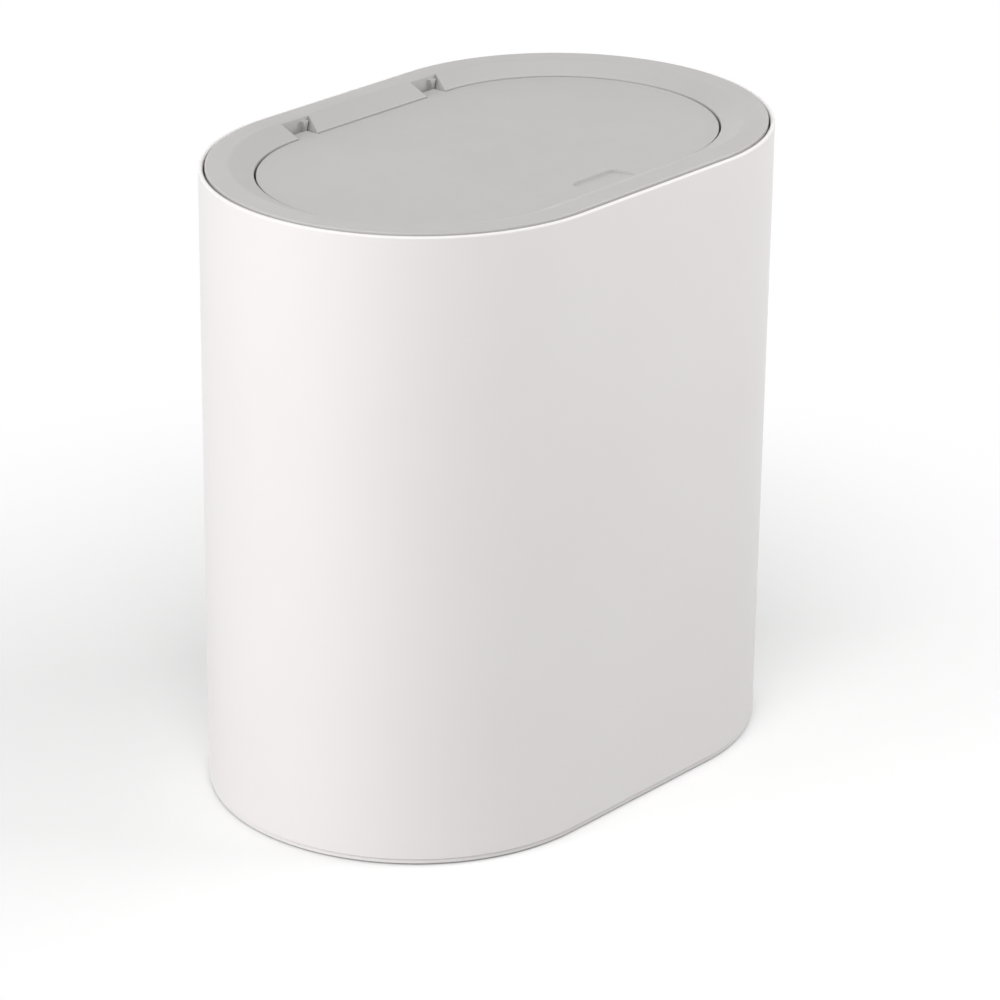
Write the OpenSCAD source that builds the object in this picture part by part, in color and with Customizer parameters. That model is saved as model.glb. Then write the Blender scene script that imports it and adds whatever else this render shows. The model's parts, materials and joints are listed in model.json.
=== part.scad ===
// Push-top countertop bin with a stadium-shaped plan.
// X runs along the bin, Y across it with the press spot at -Y, and Z up from the surface it stands on.
// The barrel holds a drop-in lid frame. The flap swings on two pins in the frame's back pockets,
// two torsion springs push it open, and a push latch under the press spot holds it shut.

/* [Barrel] */
// Overall length along X
bin_l = 250; // [220:1:320]
// Overall width along Y
bin_w = 165; // [155:1:190]
// Overall height, from the surface to the top of the lid
bin_h = 255; // [160:1:340]
// Barrel wall thickness at the rim
wall_t = 1.8; // [1.6:0.1:2.4]
// How much the barrel's radius shrinks from the rim to the base
draft = 0.5; // [0.2:0.1:3]
// Thickness of the barrel's floor
floor_t = 2.4; // [1.6:0.1:4]
// Radius inside the barrel where the wall meets the floor
floor_fillet = 6; // [2:0.5:12]
// Height of the stepped foot ring under the barrel
foot_h = 2; // [1:0.1:4]
// How far the foot ring is set back from the wall
foot_step = 0.7; // [0.4:0.1:2]
// Thickness of the foot ring
foot_t = 2.4; // [1.6:0.1:4]
// Height by which the lid stands above the barrel's rim
rim_drop = 0.8; // [0:0.1:2]

/* [Foot pads] */
// Pad diameter
pad_d = 12; // [8:0.5:16]
// How far a pad stands below the foot ring
pad_proud = 0.6; // [0.3:0.1:1.5]
// Distance between pad centres along X
pad_span_x = 124; // [90:1:150]
// Distance between pad centres along Y
pad_span_y = 76; // [60:1:100]
// Wall of the ring that locates a pad
pad_ring_t = 1.2; // [0.8:0.1:2]

/* [Lid frame] */
// Gap seen between the barrel's wall and the lid frame
rim_gap = 0.7; // [0.4:0.1:1.2]
// Width of the flat band round the lid
band_w = 9; // [7:0.5:12]
// Width of the sloping dish inside the band
dish_w = 9.4; // [9:0.1:11]
// Height that the dish falls
dish_drop = 4; // [3.8:0.1:4.4]
// Thickness of the flat band
band_t = 2; // [1.6:0.1:2.4]
// Thickness of the sloping dish
dish_t = 1.6; // [1.4:0.1:1.8]
// Radius on the band's outer edge
band_edge_r = 0.8; // [0.4:0.1:1.2]
// Radius where the band turns down into the dish
dish_bend_r = 6; // [2:0.5:10]
// Depth of the lid's seat below its top
seat_drop = 8; // [6:0.5:12]
// Width of the barrel's seat bead
bead_w = 1.7; // [1.4:0.1:2.2]
// Thickness of the frame's skirt
skirt_t = 1.8; // [1.4:0.1:2.4]
// Depth of the frame's skirt below the lid's top
skirt_drop = 20; // [15:0.5:30]
// Clearance between the skirt and the seat bead
skirt_clear = 0.4; // [0.2:0.1:0.8]
// Thickness of the wall round the throat
throat_t = 1.6; // [1.4:0.1:2]
// Width of the ledge below the flap's edge
ledge_w = 4.1; // [3:0.1:5]
// Thickness of the ledge
ledge_t = 1.8; // [1.4:0.1:2.2]
// Thickness of the gussets below the band
gusset_t = 1.4; // [1:0.1:2]
// Gussets round each end
gusset_n = 5; // [3:1:7]

/* [Flap] */
// Gap round the flap
flap_gap = 0.8; // [0.7:0.1:1]
// Depth of the flap's top below the dish's inner edge
flap_sink = 0.4; // [0.3:0.1:0.6]
// Thickness of the flap
flap_t = 2.2; // [2:0.1:2.4]
// Distance that the flap can be pressed down at its ledge
press_room = 2.8; // [2.6:0.1:3.4]
// Distance from the flap's edge in to its stiffening wall
flap_wall_in = 4.8; // [4.8:0.1:6]
// Thickness of the stiffening wall
flap_wall_t = 1.5; // [1.2:0.1:2]
// Height of the stiffening wall below the flap
flap_wall_h = 8.4; // [5:0.2:9]
// Thickness of the flap's ribs
flap_rib_t = 1.2; // [1:0.1:2]
// Height of the flap's ribs
flap_rib_h = 3.4; // [2:0.2:5]
// Width of the press spot
press_w = 26; // [20:1:34]
// Length of the press spot, back from the flap's front edge
press_l = 10.8; // [8:0.2:14]
// Depth of the press spot at its back edge
press_deep = 1; // [0.5:0.1:1.1]
// Depth of the press spot at the flap's front edge
press_shallow = 0.2; // [0.1:0.1:0.6]
// Radius of the press spot's corners
press_r = 3.5; // [2:0.5:5]

/* [Hinge] */
// Distance of each hinge pocket in from the end of the lid's straight side
hinge_in = 5.5; // [4.5:0.5:12]
// Distance from the flap's back edge to the pin
pin_back = 5.4; // [5.3:0.1:5.7]
// Depth of the pin's axis below the flap's top, which is also the knuckle's radius
pin_sink = 2.1; // [2:0.1:2.1]
// Hinge pin diameter
pin_d = 2; // [1.6:0.1:2.2]
// Radial running clearance of the pin in a knuckle or a pocket's wall
pin_clear = 0.05; // [0.02:0.01:0.08]
// Width of a pocket at the flap's edge
pocket_w = 12; // [11:0.5:13]
// Length of a pocket behind the flap's edge
pocket_l = 8.8; // [8.4:0.1:9.2]
// How much the pocket's right side flares towards the back
pocket_flare = 3.4; // [2:0.1:4]
// How much the pocket's right side leans in from the lid's top down to the pocket's floor
pocket_lean = 2; // [1:0.1:2.6]
// Wall round a pocket
pocket_t = 1.6; // [1.2:0.1:2]
// Clearance at each side of a tongue
tongue_clear = 0.2; // [0.15:0.05:0.4]
// Width of the web in the pocket's back corner
web_w = 3; // [2:0.1:3.6]
// How far the web stands out from the pocket's back wall
web_d = 1.8; // [1:0.1:2]
// Height of the web
web_h = 6; // [4:0.2:7]
// Slit between the web and the pocket's right side
web_slit = 1.2; // [1:0.1:1.6]
// Radius of the recess round the pin in the pocket's right side
pin_recess_r = 1.7; // [1.4:0.1:1.9]

/* [Torsion springs] */
// Wire diameter
twist_wire = 0.7; // [0.5:0.1:0.8]
// Mean coil radius
twist_r = 1.75; // [1.6:0.05:1.8]
// Whole turns in a spring, with a quarter turn more at its end
twist_turns = 3; // [2:1:3]
// Distance from turn to turn
twist_pitch = 1.3; // [1.2:0.05:1.4]
// Clear length for a spring between the pin's boss and the pocket
twist_room = 6; // [5.6:0.1:7]

/* [Push latch] */
// Distance of the latch's middle in from the flap's front edge
latch_in = 5.8; // [5.4:0.1:6.4]
// Depth of the latch shelf below the ledge
shelf_sink = 5; // [4.6:0.1:6]
// Thickness of the latch shelf
shelf_t = 3.6; // [3:0.1:5]
// Width inside the latch shelf
shelf_w = 30.4; // [28:0.2:34]
// Width of the latch housing
housing_w = 18; // [17:0.5:20]
// Depth of the latch housing from front to back
housing_d = 11.2; // [11:0.2:13]
// Height of the latch housing
housing_h = 20.6; // [20:0.2:26]
// Wall under the latch housing's bore
housing_floor = 1.4; // [1:0.1:2]
// Thickness of the housing's screw ears
housing_ear_t = 2; // [1.6:0.1:3]
// Width of the slider
slider_w = 12; // [11.6:0.1:12.4]
// Depth of the slider from front to back
slider_d = 7; // [6.8:0.1:7.4]
// Sliding clearance of the slider on each side
slider_clear = 0.1; // [0.05:0.05:0.2]
// Height of the slider's body
slider_h = 7; // [6.4:0.2:8]
// Height of the slider's claws
claw_h = 9.3; // [8.8:0.1:9.6]
// Thickness of a claw
claw_t = 1.8; // [1.4:0.1:2]
// Depth of a claw's lip
claw_lip = 0.9; // [0.6:0.1:1.1]
// Depth of the claws' tips below the latch shelf
claw_sink = 0.3; // [0.2:0.1:0.6]
// Wire diameter of the latch spring
coil_wire = 0.5; // [0.4:0.1:0.6]
// Mean coil radius of the latch spring
coil_r = 1.75; // [1.5:0.05:1.9]
// Turns of the latch spring
coil_turns = 5; // [4:1:6]
// Diameter of the cam pin
cam_d = 1; // [0.8:0.1:1.2]
// Diameter of the screws' shanks
screw_d = 2.2; // [1.8:0.1:2.4]
// Distance between the latch's screws
screw_span = 25; // [24:0.5:26]
// Distance between the striker's screws
striker_span = 16; // [14:0.5:18]
// Thickness of the striker's plate
striker_t = 1.6; // [1.4:0.1:2]
// Clearance between the striker's head and the claws
striker_clear = 0.3; // [0.2:0.05:0.5]

/* [Hidden] */
$fn = 96;

// Colours
body_white = [0.94, 0.94, 0.93];
lid_grey = [0.76, 0.75, 0.74];
steel = [0.72, 0.73, 0.75];
acetal = [0.9, 0.9, 0.88];
pad_grey = [0.45, 0.45, 0.46];

// A cut runs this far past the surface that it opens
over = 0.5;
// Pieces of one moulding reach this far into each other
bite = 0.6;
// Small edge break
edge = 0.4;

// Plan: half of the straight side, and the radii of the rings from outside in
half_straight = (bin_l - bin_w) / 2;
rim_r = bin_w / 2;
base_r = rim_r - draft;
foot_r = base_r - foot_step;
frame_r = rim_r - wall_t - rim_gap;
bead_r = rim_r - wall_t - bead_w;
skirt_r = bead_r - skirt_clear;
dish_r = frame_r - band_w;
throat_r = dish_r - dish_w;
ledge_r = throat_r - ledge_w;
flap_r = throat_r - flap_gap;
flap_wall_r = flap_r - flap_wall_in;

// Heights
rim_z = bin_h - rim_drop;
foot_z = pad_proud;
step_z = foot_z + foot_h;
floor_z = step_z + floor_t;
seat_z = bin_h - seat_drop;
skirt_z = bin_h - skirt_drop;
throat_z = bin_h - dish_drop;
flap_z = throat_z - flap_sink;
flap_under = flap_z - flap_t;
ledge_z = flap_under - press_room;
ledge_under = ledge_z - ledge_t;
dish_slope = dish_drop / dish_w;
dish_angle = atan(dish_slope);
dish_fall = dish_t / cos(dish_angle);
gusset_z = seat_z - 1;
bend_set = dish_bend_r * tan(dish_angle / 2);

// Hinge: the pockets' places, the pin's axis, and a pocket's outline about its own middle
hinge_x = half_straight - hinge_in;
pin_y = flap_r + pin_back;
pin_z = flap_z - pin_sink;
knuckle_r = pin_sink;
pocket_front = throat_r;
pocket_back = throat_r + pocket_l;
pocket_left = -pocket_w / 2;
pocket_right = pocket_w / 2;
flare = pocket_flare / pocket_l;
flare_angle = atan(flare);
lean = pocket_lean / (bin_h - ledge_z);
lean_angle = atan(lean);
tongue_left = pocket_left + tongue_clear;
tongue_right = pocket_right - lean * (bin_h - flap_under) - tongue_clear;
boss_right = pocket_left - pocket_t - twist_room;
boss_left = boss_right - pocket_t;
pin_head_t = 0.8;
pin_head_r = pin_d / 2 + 0.8;
pin_wall = pocket_right + flare * (pin_y - pocket_front) - lean * (bin_h - pin_z);
pin_end = pin_wall + pocket_t + 0.6;
leg_y = -2.3;
leg_z = -twist_r - 0.45;
leg_r = norm([leg_y, leg_z]);
leg_angle = atan2(-leg_z, -leg_y);
leg_reach = 7.6;
open_angle = 85;

// Push latch: its middle in plan, the shelf and the heights below it
latch_y = -(flap_r - latch_in);
shelf_z = ledge_z - shelf_sink;
shelf_under = shelf_z - shelf_t;
shelf_wall = 1.8;
shelf_back = latch_y + housing_d / 2 + 2.5;
window_w = slider_w + 0.8;
window_d = slider_d + 1.4;
housing_z = shelf_under - housing_h;
bore_z = housing_z + housing_floor;
claw_top = shelf_under - claw_sink;
slider_top = claw_top - claw_h;
slider_z = slider_top - slider_h;
claw_out = slider_w / 2 - 0.4;
claw_in = claw_out - claw_t;
lip_z = claw_top - 1.2;
spring_bore_r = coil_r + coil_wire / 2 + 0.3;
spring_bore_top = slider_top - 1.4;
screw_head_r = screw_d / 2 + 1;
screw_head_t = 1.4;
screw_l = housing_ear_t + shelf_t - 0.6;
head_half = claw_in - claw_lip - striker_clear;
head_top = lip_z - striker_clear;
head_t = 2;
striker_top = flap_under - 3.2;
striker_under = striker_top - striker_t;
striker_w = striker_span + 6;
striker_d = 8;
stem_half = 1.4;
stem_d = 4.4;
striker_screw_top = flap_z - press_deep - 0.6;
cam_y = latch_y + slider_d / 2 + slider_clear + cam_d / 2 + 0.3;
cam_tip_z = slider_top - 2;
groove_d = cam_d;
groove_floor = slider_z + 0.9;

// Sweeps a half section, radius across and height up, round the stadium
module stadium_sweep() {
  for (side = [-1, 1])
    translate([side * half_straight, 0, 0])
      rotate([0, 0, -90 * side])
        rotate_extrude(angle = 180)
          children();
  for (side = [0, 1])
    mirror([0, side, 0])
      translate([-half_straight, 0, 0])
        rotate([90, 0, 90])
          linear_extrude(2 * half_straight)
            children();
}

// A cylinder along X from x1 to x2 on the hinge axis of the pocket at the origin
module along_pin(r, x1, x2) {
  translate([x1, pin_y, pin_z])
    rotate([0, 90, 0])
      cylinder(r = r, h = x2 - x1);
}

// A box given by its two corners
module block(low, high) {
  translate(low)
    cube(high - low);
}

// Radius of the barrel's outside at height z
function barrel_r(z) = base_r + draft * (z - step_z) / (rim_z - step_z);

// Height of the dish's top surface at radius r
function dish_z(r) = throat_z + dish_slope * (r - throat_r);

// Tube along a line of points: a ring of sides at each point, carried along without twist
function tangents(p) = [
  for (i = [0 : len(p) - 1])
    let (d = p[min(i + 1, len(p) - 1)] - p[max(i - 1, 0)])
      d / norm(d)
];
function square_to(n, t) = let (m = n - (n * t) * t) m / norm(m);
function normals(t, n0) = [
  for (i = 0, n = square_to(n0, t[0]); i < len(t); i = i + 1,
       n = i < len(t) ? square_to(n, t[i]) : n) n
];
module tube(points, wire, first_normal, sides = 6) {
  t = tangents(points);
  n = normals(t, first_normal);
  last = len(points) - 1;
  ring_points = [
    for (i = [0 : last], k = [0 : sides - 1])
      let (a = 360 * k / sides)
        points[i] + wire / 2 * (cos(a) * n[i] + sin(a) * cross(t[i], n[i]))
  ];
  side_faces = [
    for (i = [0 : last - 1], k = [0 : sides - 1], half = [0, 1])
      let (a = i * sides + k, b = i * sides + (k + 1) % sides)
        half == 0 ? [a, a + sides, b] : [b, a + sides, b + sides]
  ];
  caps = [
    for (k = [1 : sides - 2], end = [0, 1])
      end == 0 ? [0, k, k + 1] : [last * sides, last * sides + k + 1, last * sides + k]
  ];
  polyhedron(ring_points, concat(side_faces, caps), convexity = 6);
}

// Smallest distance between the surfaces of turns that lie half a turn or more apart
function own_gap(p, wire, apart) = min([
  for (i = [0 : len(p) - 1 - apart], j = [i + apart : len(p) - 1]) norm(p[i] - p[j])
]) - wire;

// Points of a torsion spring about the pin: leg up to the dish, coil, leg out under the tongue's heel
rings = 8;
twist_start = boss_right + twist_wire / 2 + 0.5;
twist_end = twist_start + (twist_turns + 0.25) * twist_pitch;
twist_coil = [
  for (i = [0 : (twist_turns + 0.25) * rings])
    let (a = -360 * i / rings)
      [twist_start + twist_pitch * i / rings, twist_r * cos(a), twist_r * sin(a)]
];
twist_leg_top = dish_z(pin_y + twist_r) - dish_fall - pin_z - twist_wire / 2 - 0.3;
twist_points = concat(
  [[twist_start, twist_r, twist_leg_top], [twist_start, twist_r, twist_leg_top / 2]],
  twist_coil,
  [
    [twist_end, leg_y + 0.7, leg_z],
    [twist_end + 0.2, leg_y + 0.2, leg_z],
    [twist_end + 0.7, leg_y, leg_z],
    [twist_end + leg_reach / 2, leg_y, leg_z],
    [twist_end + leg_reach, leg_y, leg_z]
  ]
);

// Points of the latch spring: a plain helix between the housing's floor and the slider's bore
coil_low = bore_z + coil_wire / 2 + 0.1;
coil_high = spring_bore_top - coil_wire / 2 - 0.1;
coil_points = [
  for (i = [0 : coil_turns * rings])
    let (a = 360 * i / rings)
      [coil_r * cos(a), coil_r * sin(a), coil_low + (coil_high - coil_low) * i / (coil_turns * rings)]
];
echo(str("torsion spring, least gap to itself: ", own_gap(twist_coil, twist_wire, 6)));
echo(str("latch spring, least gap to itself: ", own_gap(coil_points, coil_wire, 6)));

// Half section of the barrel: floor, drafted wall, full-round rim, seat bead and foot ring
module barrel_section() {
  lip_r = wall_t / 2;
  bead_foot = seat_z - 2 * bead_w;
  inner_low = barrel_r(floor_z + floor_fillet) - wall_t;
  difference() {
    union() {
      polygon([
        [0, step_z],
        [foot_r - foot_t, step_z],
        [foot_r - foot_t, foot_z],
        [foot_r - edge, foot_z],
        [foot_r, foot_z + edge],
        [foot_r, step_z],
        [base_r - edge, step_z],
        [base_r, step_z + edge],
        [rim_r, rim_z - lip_r],
        [rim_r - wall_t, rim_z - lip_r],
        [rim_r - wall_t, seat_z],
        [bead_r, seat_z],
        [bead_r, seat_z - bead_w / 2],
        [barrel_r(bead_foot) - wall_t, bead_foot],
        [inner_low, floor_z + floor_fillet],
        [inner_low - floor_fillet, floor_z],
        [0, floor_z]
      ]);
      translate([rim_r - lip_r, rim_z - lip_r])
        circle(lip_r);
    }
    translate([inner_low - floor_fillet, floor_z + floor_fillet])
      circle(floor_fillet);
  }
}

// Centres of the four foot pads
function pad_at(x_side, y_side) = [x_side * pad_span_x / 2, y_side * pad_span_y / 2, 0];

module outer_barrel() {
  color(body_white)
    union() {
      stadium_sweep()
        barrel_section();
      for (x_side = [-1, 1], y_side = [-1, 1])
        translate(pad_at(x_side, y_side) + [0, 0, foot_z + edge])
          difference() {
            cylinder(d = pad_d + 2 * skirt_clear + 2 * pad_ring_t, h = foot_h + bite - edge);
            translate([0, 0, -over])
              cylinder(d = pad_d + 2 * skirt_clear, h = foot_h - edge + over);
          }
    }
}

// Non-slip pad, held in its ring under the floor
module foot_pad(x_side, y_side) {
  color(pad_grey)
    translate(pad_at(x_side, y_side))
      rotate_extrude()
        polygon([
          [0, 0],
          [pad_d / 2 - edge, 0],
          [pad_d / 2, edge],
          [pad_d / 2, step_z],
          [0, step_z]
        ]);
}

// Half section of the lid frame: band, dish, throat wall, ledge and skirt
module frame_section() {
  inner_r = throat_r + throat_t;
  under_r = throat_r + dish_w - (band_t - dish_fall) / dish_slope;
  union() {
    polygon([
      [frame_r, seat_z],
      [frame_r, bin_h - band_edge_r],
      [frame_r - band_edge_r, bin_h],
      for (i = [0 : 4])
        let (a = dish_angle * i / 4)
          [dish_r + bend_set, bin_h - dish_bend_r] + dish_bend_r * [-sin(a), cos(a)],
      [throat_r + edge, dish_z(throat_r + edge)],
      [throat_r, throat_z - edge],
      [throat_r, ledge_z],
      [ledge_r, ledge_z],
      [ledge_r, ledge_under],
      [inner_r, ledge_under],
      [inner_r, dish_z(inner_r) - dish_fall],
      [under_r, bin_h - band_t],
      [skirt_r - skirt_t, bin_h - band_t],
      [skirt_r - skirt_t, skirt_z],
      [skirt_r, skirt_z],
      [skirt_r, seat_z]
    ]);
    translate([frame_r - band_edge_r, bin_h - band_edge_r])
      circle(band_edge_r);
  }
}

// Half section of the room below the band and dish, where gussets and hinge walls stand
module under_section() {
  low_r = throat_r + bite;
  high_r = skirt_r - bite;
  rise = 0.7;
  polygon([
    [low_r, ledge_under],
    [high_r, ledge_under],
    [high_r, bin_h - rise],
    [dish_r, bin_h - rise],
    [low_r, dish_z(low_r) - rise]
  ]);
}

// Room of one pocket from height z1 to z2, grown outwards by a wall, its right side flared and leaning in
module pocket_room(grow, front, z1, z2) {
  reach = pocket_w + 2 * pocket_flare;
  intersection() {
    block([pocket_left - grow, front, z1], [reach, pocket_back + grow, z2]);
    translate([pocket_right, pocket_front, bin_h])
      rotate([0, 0, -flare_angle])
        rotate([0, lean_angle, 0])
          block([-3 * reach, -3 * reach, -3 * reach], [grow, 3 * reach, 3 * reach]);
  }
}

// Walls of one hinge pocket and the boss beyond its spring
module hinge_walls() {
  pocket_room(pocket_t, pocket_front + bite, ledge_under, bin_h);
  block([boss_left, pocket_front + bite, gusset_z], [boss_right, pocket_back, bin_h]);
}

// What is cut from the frame for one hinge: the pocket, the pin's bores and the spring leg's slot
module hinge_cuts() {
  pocket_room(0, pocket_front - over, ledge_z, bin_h + over);
  along_pin(pin_d / 2 + pin_clear, boss_left - over, pin_end);
  along_pin(pin_recess_r, 0, pin_wall + 0.5);
  slot_wide = twist_wire + 0.5;
  translate([pocket_left - pocket_t - over, pin_y, pin_z])
    rotate([90, 0, 90])
      linear_extrude(pocket_t + 2 * over)
        intersection() {
          difference() {
            circle(leg_r + slot_wide / 2);
            circle(leg_r - slot_wide / 2);
          }
          polygon([
            [0, 0],
            10 * [-cos(leg_angle + 9), -sin(leg_angle + 9)],
            10 * [-1, -0.1],
            10 * [-cos(leg_angle - open_angle - 6), -sin(leg_angle - open_angle - 6)]
          ]);
        }
}

// The V-shaped web in the pocket's back corner, a slit away from the right side
module pocket_web() {
  right = pocket_right + flare * (pocket_l - web_d) - web_slit;
  top = dish_z(pocket_back - web_d) - edge;
  translate([0, pocket_back + bite, 0])
    rotate([90, 0, 0])
      linear_extrude(web_d + bite)
        polygon([
          [right - web_w, top],
          [right - web_w * 0.4, top - web_h],
          [right, top]
        ]);
}

// Gussets between the throat wall and the skirt
module gusset_plates() {
  reach = skirt_r;
  for (side = [-1, 1], i = [0 : gusset_n - 1])
    translate([side * half_straight, 0, 0])
      rotate([0, 0, 90 - side * 90 + 180 * (i + 0.5) / gusset_n - 90])
        block([throat_r, -gusset_t / 2, gusset_z], [reach, gusset_t / 2, bin_h]);
  for (x = [-0.5, 0.5])
    block([x * half_straight - gusset_t / 2, -reach, gusset_z],
          [x * half_straight + gusset_t / 2, -throat_r, bin_h]);
  block([-gusset_t / 2, throat_r, gusset_z], [gusset_t / 2, reach, bin_h]);
}

// Shelf under the press spot that carries the push latch
module latch_shelf() {
  half = shelf_w / 2 + shelf_wall;
  block([-half, -(throat_r + throat_t), shelf_under], [half, shelf_back, ledge_z]);
}

module latch_shelf_cuts() {
  half = shelf_w / 2;
  block([-half, -throat_r, shelf_z], [half, shelf_back + over, ledge_z + over]);
  block([-window_w / 2, latch_y - window_d / 2, shelf_under - over],
        [window_w / 2, latch_y + window_d / 2, shelf_z + over]);
  for (side = [-1, 1])
    translate([side * screw_span / 2, latch_y, shelf_under - over])
      cylinder(d = screw_d, h = shelf_t - 0.4 + over);
}

module lid_frame() {
  color(lid_grey)
    union() {
      difference() {
        union() {
          stadium_sweep()
            frame_section();
          intersection() {
            stadium_sweep()
              under_section();
            union() {
              gusset_plates();
              for (side = [-1, 1])
                translate([side * hinge_x, 0, 0])
                  hinge_walls();
            }
          }
          latch_shelf();
        }
        for (side = [-1, 1])
          translate([side * hinge_x, 0, 0])
            hinge_cuts();
        latch_shelf_cuts();
      }
      intersection() {
        stadium_sweep()
          under_section();
        for (side = [-1, 1])
          translate([side * hinge_x, 0, 0])
            pocket_web();
      }
    }
}

// Half section of the flap: plate with a soft edge and a stiffening wall below
module flap_section() {
  polygon([
    [0, flap_under],
    [flap_wall_r - flap_wall_t, flap_under],
    [flap_wall_r - flap_wall_t, flap_under - flap_wall_h],
    [flap_wall_r, flap_under - flap_wall_h],
    [flap_wall_r, flap_under],
    [flap_r - edge / 2, flap_under],
    [flap_r, flap_under + edge / 2],
    [flap_r, flap_z - edge],
    [flap_r - edge / 4, flap_z - edge / 4],
    [flap_r - edge, flap_z],
    [0, flap_z]
  ]);
}

// Press spot: a rounded hollow that runs out at the flap's front edge
module press_spot() {
  back = -(flap_r - press_l);
  front = -flap_r - over;
  intersection() {
    translate([0, 0, flap_under])
      linear_extrude(2 * flap_t)
        union() {
          polygon([
            [-press_w / 2, front],
            [press_w / 2, front],
            [press_w / 2, back - press_r],
            [press_w / 2 - press_r, back],
            [press_r - press_w / 2, back],
            [-press_w / 2, back - press_r]
          ]);
          for (side = [-1, 1])
            translate([side * (press_w / 2 - press_r), back - press_r])
              circle(press_r);
        }
    translate([-press_w, 0, 0])
      rotate([90, 0, 90])
        linear_extrude(2 * press_w)
          polygon([
            [back, flap_z - press_deep],
            [back, flap_z + over],
            [front, flap_z + over],
            [front, flap_z - press_shallow]
          ]);
  }
}

// One hinge tongue with its knuckle and the heel that the spring's leg pushes
module hinge_tongue() {
  heel_z = pin_z + leg_z + twist_wire / 2 + 0.15;
  heel_w = 2.8;
  block([tongue_left, flap_r - 2, flap_under], [tongue_right, pin_y, flap_z]);
  along_pin(knuckle_r, tongue_left, tongue_right);
  block([tongue_left, pin_y + leg_y - 1.2, heel_z],
        [tongue_left + heel_w, pin_y + leg_y + 1, flap_under + bite]);
}

// Ribs below the flap, inside its stiffening wall
module flap_ribs() {
  end = flap_wall_r - flap_wall_t / 2;
  low = flap_under - flap_rib_h;
  for (x = [-1, 0, 1])
    block([x * half_straight - flap_rib_t / 2, x == 0 ? latch_y + striker_d : -end, low],
          [x * half_straight + flap_rib_t / 2, end, flap_under + bite]);
  for (y = [-0.4, 0.4])
    block([-half_straight - end * 0.9, y * end - flap_rib_t / 2, low],
          [half_straight + end * 0.9, y * end + flap_rib_t / 2, flap_under + bite]);
}

module lid_flap() {
  gap_half = shelf_w / 2 + shelf_wall + 1.8;
  boss_r = screw_d / 2 + 1.6;
  color(lid_grey)
    difference() {
      union() {
        difference() {
          stadium_sweep()
            flap_section();
          block([-gap_half, -flap_wall_r - 0.3, flap_under - flap_wall_h - over],
                [gap_half, -flap_wall_r + flap_wall_t + 0.3, flap_under]);
        }
        flap_ribs();
        for (side = [-1, 1])
          translate([side * striker_span / 2, latch_y, striker_top])
            cylinder(r = boss_r, h = flap_under + bite - striker_top);
        for (side = [-1, 1])
          translate([side * hinge_x, 0, 0])
            hinge_tongue();
      }
      for (side = [-1, 1])
        translate([side * hinge_x, 0, 0])
          along_pin(pin_d / 2 + pin_clear, tongue_left - over, tongue_right + over);
      for (side = [-1, 1])
        translate([side * striker_span / 2, latch_y, striker_top - over])
          cylinder(d = screw_d, h = striker_screw_top + 0.1 - striker_top + over);
      press_spot();
    }
}

// Headed steel pin through the boss, the spring, and the pocket's walls with the tongue between them
module hinge_pin(side) {
  color(steel)
    translate([side * hinge_x, 0, 0])
      union() {
        along_pin(pin_head_r, boss_left - pin_head_t, boss_left);
        along_pin(pin_d / 2, boss_left - pin_head_t / 2, pin_end - 0.3);
      }
}

module torsion_spring(side) {
  color(steel)
    translate([side * hinge_x, pin_y, pin_z])
      tube(twist_points, twist_wire, [1, 0, 0]);
}

// Guide block of the push latch, screwed up against the shelf by its two ears
module latch_housing() {
  ear_half = shelf_w / 2 + shelf_wall;
  guide_w = slider_w + 2 * slider_clear;
  guide_d = slider_d + 2 * slider_clear;
  mouth_w = housing_w - 2.4;
  mouth_h = 6;
  color(acetal)
    difference() {
      union() {
        block([-housing_w / 2, latch_y - housing_d / 2, housing_z],
              [housing_w / 2, latch_y + housing_d / 2, shelf_under]);
        block([-ear_half, latch_y - 3.4, shelf_under - housing_ear_t],
              [ear_half, latch_y + 3.4, shelf_under]);
      }
      block([-guide_w / 2, latch_y - guide_d / 2, bore_z],
            [guide_w / 2, latch_y + guide_d / 2, shelf_under + over]);
      block([-mouth_w / 2, latch_y - guide_d / 2, shelf_under - mouth_h],
            [mouth_w / 2, latch_y + guide_d / 2, shelf_under + over]);
      block([-1.6, latch_y, bore_z + 0.6],
            [1.6, cam_y + cam_d / 2 + 0.2, slider_top - 0.8]);
      for (side = [-1, 1])
        translate([side * screw_span / 2, latch_y, shelf_under - housing_ear_t - over])
          cylinder(d = screw_d + 0.3, h = housing_ear_t + 2 * over);
    }
}

// Slider with two claws for the striker, a bore for its spring and a track for the cam pin
module latch_slider() {
  half_d = slider_d / 2;
  groove_half = 1.4;
  color(acetal)
    difference() {
      union() {
        block([-slider_w / 2, latch_y - half_d, slider_z], [slider_w / 2, latch_y + half_d, slider_top]);
        for (side = [0, 1])
          mirror([side, 0, 0])
            translate([0, latch_y + half_d - 0.5, 0])
              rotate([90, 0, 0])
                linear_extrude(slider_d - 1)
                  polygon([
                    [claw_in, slider_top - over],
                    [claw_in, lip_z],
                    [claw_in - claw_lip, lip_z],
                    [claw_in - claw_lip, lip_z + 0.4],
                    [claw_in, claw_top],
                    [claw_out, claw_top],
                    [claw_out, slider_top - over]
                  ]);
      }
      translate([0, latch_y, slider_z - over])
        cylinder(r = spring_bore_r, h = spring_bore_top - slider_z + over);
      block([-groove_half, latch_y + half_d - groove_d, groove_floor],
            [groove_half, latch_y + half_d + over, slider_top + over]);
    }
}

module latch_spring() {
  color(steel)
    translate([0, latch_y, 0])
      tube(coil_points, coil_wire, [0, 0, 1]);
}

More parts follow.
